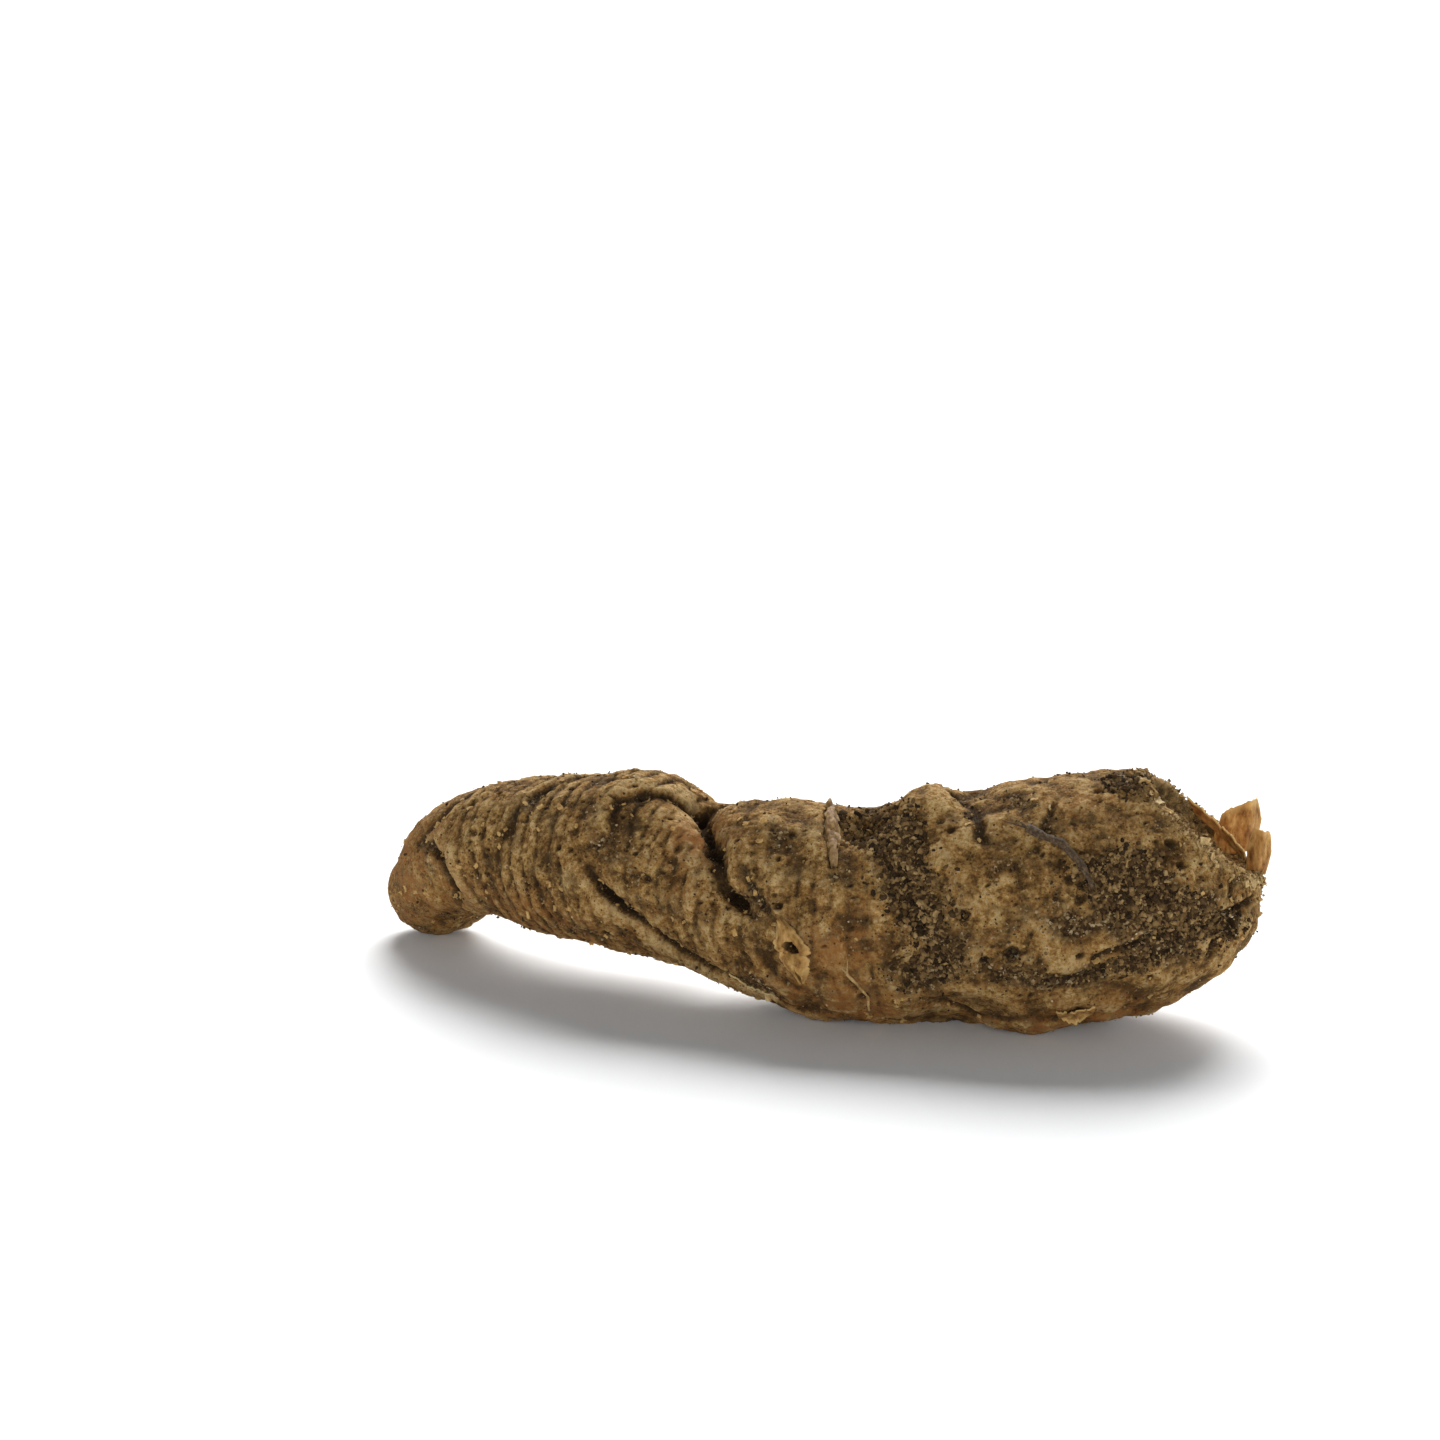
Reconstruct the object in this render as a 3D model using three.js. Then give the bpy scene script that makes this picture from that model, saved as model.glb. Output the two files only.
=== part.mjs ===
// Dried rhizome of paris (Paris polyphylla, chong lou), lying on a table as it was dug and dried.
// One thick bent rhizome grew as a single piece. A slanted stem scar closes its young end and a
// small rounded knob its old end. Dry scale leaves, a torn root sheath, broken rootlets, loose
// flaps of skin and cakes of soil are separate pieces on it.
// Millimetres, +Z up, origin under the middle of the whole object, on the surface it lies on.
// The rhizome runs along X, with the old knob at -X and the stem scar at +X.

import * as THREE from 'three';

// ---------------------------------------------------------------- driving dimensions

// Moves the finished form so that its box stands centred on the origin.
const CENTRING = new THREE.Vector3(-1.4, 3.2, 0);

// The axis of the rhizome: [distance along, x, y, z, half width, half height].
const STATIONS = [
  [0, -48.8, 8.2, 5.3, 4.4, 4.2],
  [5, -44.8, 5.8, 5.4, 6.0, 5.7],
  [11, -39.6, 3.0, 9.6, 7.4, 6.8],
  [19, -32.2, 0.0, 12.2, 8.4, 7.5],
  [28, -24.0, -2.8, 12.9, 9.2, 8.6],
  [38, -14.6, -5.2, 13.5, 10.2, 9.8],
  [46, -7.0, -6.4, 12.4, 9.8, 8.7],
  [53, 0.0, -7.2, 11.8, 10.6, 10.0],
  [61, 7.6, -7.2, 10.9, 11.6, 11.1],
  [69, 15.2, -6.0, 11.2, 11.6, 11.6],
  [77, 22.6, -4.0, 12.0, 12.0, 12.2],
  [85, 30.0, -1.3, 12.7, 12.6, 12.9],
  [93, 37.4, 1.7, 13.7, 12.4, 12.5],
  [101, 44.8, 5.0, 13.6, 11.6, 11.1],
  [107, 50.0, 7.5, 13.2, 10.6, 10.2],
];
const LENGTH = STATIONS[STATIONS.length - 1][0];
const KNOB_DOME = 5; // length of the rounding at the old end
const TIP_DOME = 13.5; // length of the rounding at the young end

// The stem scar: a slanted cut whose face is sunk below its rim.
const SCAR_NORMAL = new THREE.Vector3(0.62, 0.18, 0.763).normalize();
const SCAR_OFFSET = 44.2;
const SCAR_RIM = 0.9; // depth of cut over which the rim rolls into the face
const SCAR_RECESS = 1.3;

// Swellings (height above zero) and hollows (below zero) of the skin.
// along and reach are in mm, around and sweep in degrees from the front, 90 being the top.
const LOBES = [
  { along: 65.5, around: 72, reach: 2.4, sweep: 17, height: -2.3 }, // notch between two nodules
  { along: 72, around: 88, reach: 3.2, sweep: 22, height: 1.4 }, // knuckle beyond the notch
  { along: 77, around: 84, reach: 2.2, sweep: 16, height: -1.0 },
  { along: 46, around: 95, reach: 3.0, sweep: 30, height: -0.6 },
  { along: 74.5, around: -55, reach: 3.5, sweep: 20, height: -1.2 },
  { along: 82, around: -58, reach: 4.0, sweep: 18, height: 0.9 }, // lump under the thick end
  { along: 60, around: 185, reach: 5.0, sweep: 30, height: 1.2 }, // nodules on the back
  { along: 34, around: 170, reach: 4.5, sweep: 28, height: 0.9 },
  { along: 86, around: 165, reach: 5.5, sweep: 26, height: 1.1 },
  { along: 48, around: 195, reach: 2.6, sweep: 36, height: -1.3 },
  { along: 73, around: 200, reach: 2.6, sweep: 34, height: -1.2 },
];

// Furrows between nodules and folds of the skin: path of [along, around], depth and half width.
const FURROWS = [
  { path: [[45.1, 92], [51.1, 41], [52.5, 17], [54.8, 11]], depth: 1.6, width: 1.5 },
  { path: [[66, 78], [69.8, 60], [70.2, 36], [72.5, 10], [72.9, -14]], depth: 1.0, width: 2.4 },
  { path: [[39.6, 0], [43.9, -21], [48.8, -43], [57.1, -57]], depth: 0.7, width: 1.4 },
];

const BODY_ROWS = 62; // rings of points from knob to scar
const BODY_SIDES = 44; // points in each ring

const PAPER = 0.35; // thickness of dry scale leaves and sheaths
const CLEAR = 0.5; // how far the pieces on the skin stand off it

// ---------------------------------------------------------------- colours

const skinColour = 0x6d5230;
const paperColour = 0x7a5326;
const paleColour = 0x9b805a;
const rootColour = 0x3a2c20;
const soilColour = 0x302117;

// ---------------------------------------------------------------- the form of the rhizome

const degrees = Math.PI / 180;

/** Smooth curve through one column of the stations, at a distance along the axis. */
function throughStations(column, along) {
  let i = 0;
  while (i < STATIONS.length - 2 && STATIONS[i + 1][0] <= along) i += 1;
  const slope = (k) => {
    const before = STATIONS[Math.max(k - 1, 0)];
    const after = STATIONS[Math.min(k + 1, STATIONS.length - 1)];
    return (after[column] - before[column]) / (after[0] - before[0]);
  };
  const step = STATIONS[i + 1][0] - STATIONS[i][0];
  const t = (along - STATIONS[i][0]) / step;
  return (2 * t ** 3 - 3 * t ** 2 + 1) * STATIONS[i][column]
    + (t ** 3 - 2 * t ** 2 + t) * step * slope(i)
    + (3 * t ** 2 - 2 * t ** 3) * STATIONS[i + 1][column]
    + (t ** 3 - t ** 2) * step * slope(i + 1);
}

/** Point on the axis at a distance along it. */
function axisPoint(along) {
  return new THREE.Vector3(
    throughStations(1, along), throughStations(2, along), throughStations(3, along));
}

/** Centre, sideways and upward directions and half sizes of the section at a distance along. */
function sectionAt(along) {
  const step = 0.05;
  const run = axisPoint(Math.min(along + step, LENGTH)).sub(axisPoint(Math.max(along - step, 0)));
  run.normalize();
  run.z *= 0.35; // sections lean only a little with the rise of the axis
  run.normalize();
  const front = new THREE.Vector3(run.y, -run.x, 0).normalize();
  const up = new THREE.Vector3().crossVectors(run, front).multiplyScalar(-1);
  let rounding = 1;
  if (along < KNOB_DOME) rounding = Math.sqrt(1 - ((KNOB_DOME - along) / KNOB_DOME) ** 2);
  const fromTip = LENGTH - along;
  if (fromTip < TIP_DOME) rounding = Math.sqrt(1 - ((TIP_DOME - fromTip) / TIP_DOME) ** 2);
  return {
    centre: axisPoint(along),
    front,
    up,
    halfWidth: throughStations(4, along) * rounding,
    halfHeight: throughStations(5, along) * rounding,
    rounding,
  };
}

/** Smallest turn between two directions around the axis, in degrees. */
function turnBetween(a, b) {
  return ((a - b + 540) % 360) - 180;
}

/** Height of the swellings and hollows at a place on the skin. */
function lobeHeight(along, around) {
  let height = 0;
  for (const lobe of LOBES) {
    const far = ((along - lobe.along) / lobe.reach) ** 2
      + (turnBetween(around, lobe.around) / lobe.sweep) ** 2;
    height += lobe.height * Math.exp(-far);
  }
  return height;
}

/** Distance in mm over the skin from a place to a furrow's path. */
function distanceToPath(along, around, radius, path) {
  let nearest = Infinity;
  for (let i = 0; i + 1 < path.length; i += 1) {
    const toMm = radius * degrees;
    const px = along - path[i][0];
    const py = turnBetween(around, path[i][1]) * toMm;
    const dx = path[i + 1][0] - path[i][0];
    const dy = (path[i + 1][1] - path[i][1]) * toMm;
    const t = THREE.MathUtils.clamp((px * dx + py * dy) / (dx * dx + dy * dy), 0, 1);
    nearest = Math.min(nearest, Math.hypot(px - t * dx, py - t * dy));
  }
  return nearest;
}

/** Depth of the furrows at a place on the skin. */
function furrowDepth(along, around, radius) {
  let depth = 0;
  for (const { path, depth: deepest, width } of FURROWS) {
    depth += deepest * Math.exp(-((distanceToPath(along, around, radius, path) / width) ** 2));
  }
  return depth;
}

/** Place on the skin, or raised above it, flattened where it rests and cut at the stem scar. */
function skinPoint(along, around, raise = 0) {
  const section = sectionAt(along);
  const radius = (section.halfWidth + section.halfHeight) / 2;
  const relief = lobeHeight(along, around) - furrowDepth(along, around, Math.max(radius, 1));
  const swell = relief * section.rounding + raise;
  const turn = around * degrees;
  const point = section.centre.clone()
    .addScaledVector(section.front, (section.halfWidth + swell) * Math.cos(turn))
    .addScaledVector(section.up, (section.halfHeight + swell) * Math.sin(turn));
  const over = point.dot(SCAR_NORMAL) - SCAR_OFFSET;
  if (over > 0) {
    const sunk = SCAR_RECESS * THREE.MathUtils.smoothstep(over, SCAR_RIM / 3, SCAR_RIM);
    point.addScaledVector(SCAR_NORMAL, -over - sunk);
  }
  point.z = Math.max(point.z, 0);
  return point;
}

// ---------------------------------------------------------------- closed meshes

/** Geometry from a list of points and a closed list of triangles, turned to face outwards. */
function closedGeometry(points, triangles) {
  const volume = triangles.reduce(
    (sum, [a, b, c]) => sum + points[a].dot(points[b].clone().cross(points[c])), 0);
  const outwards = volume > 0 ? triangles : triangles.map(([a, b, c]) => [a, c, b]);
  const geometry = new THREE.BufferGeometry();
  geometry.setAttribute(
    'position', new THREE.Float32BufferAttribute(points.flatMap((p) => [p.x, p.y, p.z]), 3));
  geometry.setIndex(outwards.flat());
  geometry.computeVertexNormals();
  return geometry;
}

/** Closed skin over rings of points, pinched to one point at each end. */
function ringedGeometry(first, rings, last) {
  const sides = rings[0].length;
  const points = [first, ...rings.flat(), last];
  const at = (ring, side) => 1 + ring * sides + (side % sides);
  const end = points.length - 1;
  const triangles = [];
  for (let side = 0; side < sides; side += 1) {
    triangles.push([0, at(0, side), at(0, side + 1)]);
    for (let ring = 0; ring + 1 < rings.length; ring += 1) {
      triangles.push([at(ring, side), at(ring + 1, side), at(ring + 1, side + 1)]);
      triangles.push([at(ring, side), at(ring + 1, side + 1), at(ring, side + 1)]);
    }
    triangles.push([at(rings.length - 1, side), end, at(rings.length - 1, side + 1)]);
  }
  return closedGeometry(points, triangles);
}

/** Closed sheet between an outer and an inner face, each given over u and v from 0 to 1. */
function sheetGeometry(outer, inner, acrossU, acrossV) {
  const points = [];
  for (const face of [outer, inner]) {
    for (let i = 0; i <= acrossU; i += 1) {
      for (let j = 0; j <= acrossV; j += 1) points.push(face(i / acrossU, j / acrossV));
    }
  }
  const layer = (acrossU + 1) * (acrossV + 1);
  const at = (i, j, face) => face * layer + i * (acrossV + 1) + j;
  const triangles = [];
  for (let i = 0; i < acrossU; i += 1) {
    for (let j = 0; j < acrossV; j += 1) {
      triangles.push([at(i, j, 0), at(i + 1, j, 0), at(i + 1, j + 1, 0)]);
      triangles.push([at(i, j, 0), at(i + 1, j + 1, 0), at(i, j + 1, 0)]);
      triangles.push([at(i, j, 1), at(i + 1, j + 1, 1), at(i + 1, j, 1)]);
      triangles.push([at(i, j, 1), at(i, j + 1, 1), at(i + 1, j + 1, 1)]);
    }
  }
  const wall = (a, b) => {
    triangles.push([a, b, b + layer]);
    triangles.push([a, b + layer, a + layer]);
  };
  for (let i = 0; i < acrossU; i += 1) {
    wall(at(i + 1, 0, 0), at(i, 0, 0));
    wall(at(i, acrossV, 0), at(i + 1, acrossV, 0));
  }
  for (let j = 0; j < acrossV; j += 1) {
    wall(at(0, j, 0), at(0, j + 1, 0));
    wall(at(acrossU, j + 1, 0), at(acrossU, j, 0));
  }
  return closedGeometry(points, triangles);
}

/** Point at t from 0 to 1 along a path of [along, around] places. */
function onPath(path, t) {
  const scaled = t * (path.length - 1);
  const i = Math.min(Math.floor(scaled), path.length - 2);
  const part = scaled - i;
  return path[i].map((value, axis) => value + (path[i + 1][axis] - value) * part);
}

/** Sheet that lies on the skin between two edges; it domes up by crown in the middle. */
function sheetOnSkin({ edgeA, edgeB, lift = CLEAR, thickness = PAPER, crown = 0, curl = 0, u = 8, v = 5 }) {
  const face = (above) => (s, t) => {
    const a = onPath(edgeA, s);
    const b = onPath(edgeB, s);
    const along = a[0] + (b[0] - a[0]) * t;
    const around = a[1] + (b[1] - a[1]) * t;
    const dome = crown * Math.sin(Math.PI * s) * Math.sin(Math.PI * t);
    const turnedUp = curl * t * t;
    return skinPoint(along, around, lift + turnedUp + (above ? thickness + dome : 0));
  };
  return sheetGeometry(face(true), face(false), u, v);
}

/** Round rootlet through points, thick at the start and thinner at the end. */
function rootletGeometry(path, thick, thin, steps, sides) {
  const curve = new THREE.CatmullRomCurve3(path);
  const frames = curve.computeFrenetFrames(steps, false);
  const rings = [];
  for (let i = 0; i <= steps; i += 1) {
    const centre = curve.getPointAt(i / steps);
    const radius = thick + (thin - thick) * (i / steps);
    rings.push(Array.from({ length: sides }, (_, k) => {
      const turn = (2 * Math.PI * k) / sides;
      return centre.clone()
        .addScaledVector(frames.normals[i], radius * Math.cos(turn))
        .addScaledVector(frames.binormals[i], radius * Math.sin(turn));
    }));
  }
  const first = curve.getPointAt(0).addScaledVector(frames.tangents[0], -thick / 2);
  const last = curve.getPointAt(1).addScaledVector(frames.tangents[steps], thin / 2);
  return ringedGeometry(first, rings, last);
}

/** Dry scale leaf standing on the scar: it rises along grow, bends over and cups its sides. */
function standingScale({ base, grow, side, height, width, cup, bend, teeth = 0, u = 6, v = 8 }) {
  const rise = grow.clone().normalize();
  const across = side.clone().addScaledVector(rise, -side.dot(rise)).normalize();
  const out = new THREE.Vector3().crossVectors(across, rise);
  const face = (offset) => (s, t) => {
    const spread = (t - 0.5) * width * (0.6 + 0.4 * Math.sin(Math.PI * Math.min(s, 0.7)));
    const notched = 1 - teeth * s * (0.5 - 0.5 * Math.cos(4 * Math.PI * t));
    const depth = cup * 4 * (t - 0.5) ** 2 + bend * s * s + offset;
    return base.clone()
      .addScaledVector(rise, s * height * notched)
      .addScaledVector(across, spread)
      .addScaledVector(out, depth);
  };
  return sheetGeometry(face(PAPER / 2), face(-PAPER / 2), u, v);
}

/** Low wall of scale leaf along a path on the scar; its top leans over by lean. */
function scaleWall(foot, top, lean) {
  const footCurve = new THREE.CatmullRomCurve3(foot);
  const topCurve = new THREE.CatmullRomCurve3(top);
  const face = (offset) => (s, t) => {
    const point = footCurve.getPoint(s).lerp(topCurve.getPoint(s), t);
    return point.addScaledVector(lean, t * t + offset);
  };
  const half = PAPER / 2 / lean.length();
  return sheetGeometry(face(half), face(-half), 8, 4);
}

// ---------------------------------------------------------------- the pieces

/** The rhizome itself, one grown piece from knob to stem scar. */
function rhizomeBody() {
  const profile = (along) => sectionAt(along).halfWidth;
  const fine = Array.from({ length: 801 }, (_, i) => (i / 800) * LENGTH);
  const travelled = [0];
  for (let i = 1; i < fine.length; i += 1) {
    const rise = profile(fine[i]) - profile(fine[i - 1]);
    travelled.push(travelled[i - 1] + Math.hypot(fine[i] - fine[i - 1], rise));
  }
  const total = travelled[travelled.length - 1];
  const rings = [];
  for (let row = 1; row <= BODY_ROWS; row += 1) {
    const goal = (row / (BODY_ROWS + 1)) * total;
    const k = travelled.findIndex((value) => value >= goal);
    const part = (goal - travelled[k - 1]) / (travelled[k] - travelled[k - 1]);
    const along = fine[k - 1] + part * (fine[k] - fine[k - 1]);
    rings.push(Array.from(
      { length: BODY_SIDES }, (_, side) => skinPoint(along, (side * 360) / BODY_SIDES)));
  }
  return ringedGeometry(skinPoint(0, 0), rings, skinPoint(LENGTH, 0));
}

/** Cake of soil left on the skin between two edges, thicker in its middle. */
function soilCake(edgeA, edgeB, crown) {
  return sheetOnSkin({ edgeA, edgeB, thickness: 0.3, crown, u: 8, v: 6 });
}

/** Places on the skin raised by the same amount. */
function onSkin(path, raise) {
  return path.map(([along, around]) => skinPoint(along, around, raise));
}

const vector = (x, y, z) => new THREE.Vector3(x, y, z);

const pieces = [
  ['rhizome_body', skinColour, rhizomeBody()],

  ['apex_scale_lobed', paperColour, standingScale({
    base: vector(47.6, 7.0, 18.9), grow: vector(0.1, 0, 1), side: vector(0.93, 0.37, 0.1),
    height: 5.2, width: 4.2, cup: -1.2, bend: -0.6, teeth: 0.22,
  })],
  ['apex_scale_small', paperColour, standingScale({
    base: vector(50.6, 6.6, 16.4), grow: vector(0.3, 0.1, 1), side: vector(0.93, 0.37, -0.3),
    height: 3.8, width: 2.2, cup: -0.6, bend: -0.4,
  })],
  ['apex_scale_strip', paleColour, scaleWall(
    [vector(43.6, 5.0, 21.9), vector(46.2, 5.6, 19.7), vector(49.0, 5.4, 17.4)],
    [vector(43.4, 4.6, 23.2), vector(46.2, 5.0, 21.0), vector(49.2, 4.6, 18.8)],
    vector(-0.1, -0.7, 0.1),
  )],
  ['shoulder_scale_remnant', paleColour, sheetOnSkin({
    edgeA: [[60.4, 96], [61.2, 78], [62.4, 58], [63.6, 40]],
    edgeB: [[60.9, 96], [62.8, 80], [63.8, 60], [63.9, 40]],
  })],
  ['root_sheath', paperColour, sheetOnSkin({
    edgeA: [[59.2, 9], [58.9, 0], [59.6, -10], [61.4, -20]],
    edgeB: [[60.2, 9], [62.3, 1], [62.8, -9], [61.8, -20]],
    lift: 0.6, crown: 0.7, curl: 0.5,
  })],
  ['underside_skin_flap', paperColour, sheetOnSkin({
    edgeA: [[84.8, -42], [86.4, -40], [88.4, -42]],
    edgeB: [[85.2, -50], [86.8, -52], [88.2, -49]],
    curl: 0.6, u: 6, v: 4,
  })],
  ['fold_skin_flap', paleColour, sheetOnSkin({
    edgeA: [[53.4, -40], [55.6, -44], [58.2, -50]],
    edgeB: [[53.8, -48], [55.8, -54], [58.0, -58]],
    curl: 0.4, u: 6, v: 4,
  })],
  ['rootlet_broken', rootColour, rootletGeometry(
    onSkin([[82.2, 49], [83.8, 44], [85.6, 40], [87.2, 31], [88.4, 19]], 0.85), 0.42, 0.3, 16, 8)],
  ['rootlet_thread', paleColour, rootletGeometry(
    onSkin([[65.4, -16], [66.3, -22], [67.1, -30], [67.0, -40]], 0.75), 0.16, 0.12, 12, 6)],

  ['soil_cake_valley', soilColour, soilCake(
    [[66.4, 66], [68.2, 46], [69.4, 26], [71.0, 6], [72.4, -12]],
    [[68.6, 68], [72.2, 48], [73.2, 28], [74.0, 8], [73.2, -12]], 0.4)],
  ['soil_cake_thick_end', soilColour, soilCake(
    [[88.6, 28], [91.4, 32], [95.0, 30], [98.6, 20]],
    [[89.0, 8], [91.8, 0], [95.4, 0], [98.8, 8]], 0.5)],
  ['soil_cake_crack', soilColour, soilCake(
    [[93.6, -8], [96.4, -8], [99.2, -5], [101.6, -2]],
    [[93.8, -20], [96.8, -22], [99.4, -18], [101.4, -10]], 0.3)],
];

const rhizome = new THREE.Group();
for (const [name, colour, geometry] of pieces) {
  const skin = new THREE.MeshStandardMaterial({ color: colour, roughness: 0.9, metalness: 0 });
  const mesh = new THREE.Mesh(geometry, skin);
  mesh.name = name;
  mesh.position.copy(CENTRING);
  rhizome.add(mesh);
}

export default rhizome;
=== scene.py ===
"""Dried paris rhizome lying on a pale table: bark, papery scales, root remains, soil and sand.

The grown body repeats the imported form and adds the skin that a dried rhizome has: crowded rings,
shrinkage wrinkles, root scars, cracks and crumbs. Sizes are in millimetres until a mesh is made.
"""
import logging
import math
from dataclasses import dataclass, field
from enum import Enum

import bpy
import numpy as np
from mathutils import Matrix, Vector


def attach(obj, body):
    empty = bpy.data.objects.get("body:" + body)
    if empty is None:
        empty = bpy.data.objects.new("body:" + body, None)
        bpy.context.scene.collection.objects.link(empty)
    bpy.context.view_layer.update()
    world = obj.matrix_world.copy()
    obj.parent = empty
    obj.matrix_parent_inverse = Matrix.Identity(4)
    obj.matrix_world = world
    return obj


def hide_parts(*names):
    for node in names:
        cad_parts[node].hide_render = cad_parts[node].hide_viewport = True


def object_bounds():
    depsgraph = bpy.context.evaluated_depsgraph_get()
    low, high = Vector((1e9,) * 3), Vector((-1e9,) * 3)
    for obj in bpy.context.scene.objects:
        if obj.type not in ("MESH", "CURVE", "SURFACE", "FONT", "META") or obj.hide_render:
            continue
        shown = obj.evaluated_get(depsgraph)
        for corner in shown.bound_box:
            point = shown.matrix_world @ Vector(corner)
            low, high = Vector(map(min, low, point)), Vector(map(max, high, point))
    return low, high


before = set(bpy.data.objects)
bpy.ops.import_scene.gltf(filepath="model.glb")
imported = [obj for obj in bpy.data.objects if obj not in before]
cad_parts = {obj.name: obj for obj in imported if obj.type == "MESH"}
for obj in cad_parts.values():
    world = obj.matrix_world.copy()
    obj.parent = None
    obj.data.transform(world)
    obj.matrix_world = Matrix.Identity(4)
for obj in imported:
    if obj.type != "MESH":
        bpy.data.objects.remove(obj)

LOG = logging.getLogger("rhizome")
CAD_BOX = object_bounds()
METRE = 0.001  # one millimetre in scene units
Path = tuple[tuple[float, float], ...]
Colour = tuple[float, float, float]


# ------------------------------------------------------------------ the grown form

CENTRING = np.array([-1.4, 3.2, 0.0])
STATIONS = np.array([  # distance along, x, y, z, half width, half height
    (0, -48.8, 8.2, 5.3, 4.4, 4.2),
    (5, -44.8, 5.8, 5.4, 6.0, 5.7),
    (11, -39.6, 3.0, 9.6, 7.4, 6.8),
    (19, -32.2, 0.0, 12.2, 8.4, 7.5),
    (28, -24.0, -2.8, 12.9, 9.2, 8.6),
    (38, -14.6, -5.2, 13.5, 10.2, 9.8),
    (46, -7.0, -6.4, 12.4, 9.8, 8.7),
    (53, 0.0, -7.2, 11.8, 10.6, 10.0),
    (61, 7.6, -7.2, 10.9, 11.6, 11.1),
    (69, 15.2, -6.0, 11.2, 11.6, 11.6),
    (77, 22.6, -4.0, 12.0, 12.0, 12.2),
    (85, 30.0, -1.3, 12.7, 12.6, 12.9),
    (93, 37.4, 1.7, 13.7, 12.4, 12.5),
    (101, 44.8, 5.0, 13.6, 11.6, 11.1),
    (107, 50.0, 7.5, 13.2, 10.6, 10.2),
], dtype=float)
LENGTH = float(STATIONS[-1, 0])
KNOB_DOME = 5.0
TIP_DOME = 13.5
SCAR_NORMAL = np.array([0.62, 0.18, 0.763]) / np.linalg.norm([0.62, 0.18, 0.763])
SCAR_OFFSET = 44.2
SCAR_RIM = 0.9
SCAR_RECESS = 1.3


@dataclass(frozen=True)
class Lobe:
    """Swelling or hollow of the skin: place, spread in mm and degrees, and height in mm."""

    along: float
    around: float
    reach: float
    sweep: float
    height: float


@dataclass(frozen=True)
class Furrow:
    """Groove along a path of (along, around) places; step raises the skin on one side of it."""

    path: Path
    depth: float
    width: float
    step: float = 0.0


LOBES = (
    Lobe(65.5, 72, 2.4, 17, -2.3), Lobe(72, 88, 3.2, 22, 1.4), Lobe(77, 84, 2.2, 16, -1.0),
    Lobe(46, 95, 3.0, 30, -0.6), Lobe(74.5, -55, 3.5, 20, -1.2), Lobe(82, -58, 4.0, 18, 0.9),
    Lobe(60, 185, 5.0, 30, 1.2), Lobe(34, 170, 4.5, 28, 0.9), Lobe(86, 165, 5.5, 26, 1.1),
    Lobe(48, 195, 2.6, 36, -1.3), Lobe(73, 200, 2.6, 34, -1.2),
)
FISSURE: Path = ((45.1, 92), (51.1, 41), (52.5, 17), (54.8, 11))
VALLEY: Path = ((66, 78), (69.8, 60), (70.2, 36), (72.5, 10), (72.9, -14))
FOLD: Path = ((39.6, 0), (43.9, -21), (48.8, -43), (57.1, -57))
FURROWS = (Furrow(FISSURE, 1.6, 1.5), Furrow(VALLEY, 1.0, 2.4), Furrow(FOLD, 0.7, 1.4))


def turn_between(a: np.ndarray, b: float) -> np.ndarray:
    """Signed smallest turn in degrees from b to a."""
    return (a - b + 540.0) % 360.0 - 180.0


def smooth_step(value: np.ndarray, low: float, high: float) -> np.ndarray:
    """Smooth rise from 0 at low to 1 at high."""
    t = np.clip((value - low) / (high - low), 0.0, 1.0)
    return t * t * (3.0 - 2.0 * t)


def through_stations(column: int, along: np.ndarray) -> np.ndarray:
    """Smooth curve through one column of the stations.

    Args:
        column: Which value of the stations.
        along: Distances along the axis in mm.

    Returns:
        The value at each distance.
    """
    xs, ys = STATIONS[:, 0], STATIONS[:, column]
    slope = np.gradient(ys)
    slope[1:-1] = (ys[2:] - ys[:-2]) / (xs[2:] - xs[:-2])
    slope[0] = (ys[1] - ys[0]) / (xs[1] - xs[0])
    slope[-1] = (ys[-1] - ys[-2]) / (xs[-1] - xs[-2])
    i = np.clip(np.searchsorted(xs, along, side="right") - 1, 0, len(xs) - 2)
    step = xs[i + 1] - xs[i]
    t = (along - xs[i]) / step
    return ((2 * t**3 - 3 * t**2 + 1) * ys[i] + (t**3 - 2 * t**2 + t) * step * slope[i]
            + (3 * t**2 - 2 * t**3) * ys[i + 1] + (t**3 - t**2) * step * slope[i + 1])


def path_distance(along: np.ndarray, around: np.ndarray, radius: np.ndarray,
                  path: Path) -> tuple[np.ndarray, np.ndarray]:
    """Distance over the skin to a path.

    Args:
        along: Distances along the axis.
        around: Turns around the axis in degrees.
        radius: Section radius at each place.
        path: Places of the path.

    Returns:
        The distance in mm, and the same distance signed by side of the path.
    """
    nearest = np.full(np.shape(along), np.inf)
    signed = np.zeros(np.shape(along))
    to_mm = radius * math.pi / 180
    for (a0, t0), (a1, t1) in zip(path, path[1:]):
        px, py = along - a0, turn_between(around, t0) * to_mm
        dx, dy = a1 - a0, (t1 - t0) * to_mm
        t = np.clip((px * dx + py * dy) / (dx * dx + dy * dy), 0, 1)
        far = np.hypot(px - t * dx, py - t * dy)
        side = np.sign(px * dy - py * dx)
        closer = far < nearest
        signed = np.where(closer, far * side, signed)
        nearest = np.where(closer, far, nearest)
    return nearest, signed


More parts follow.
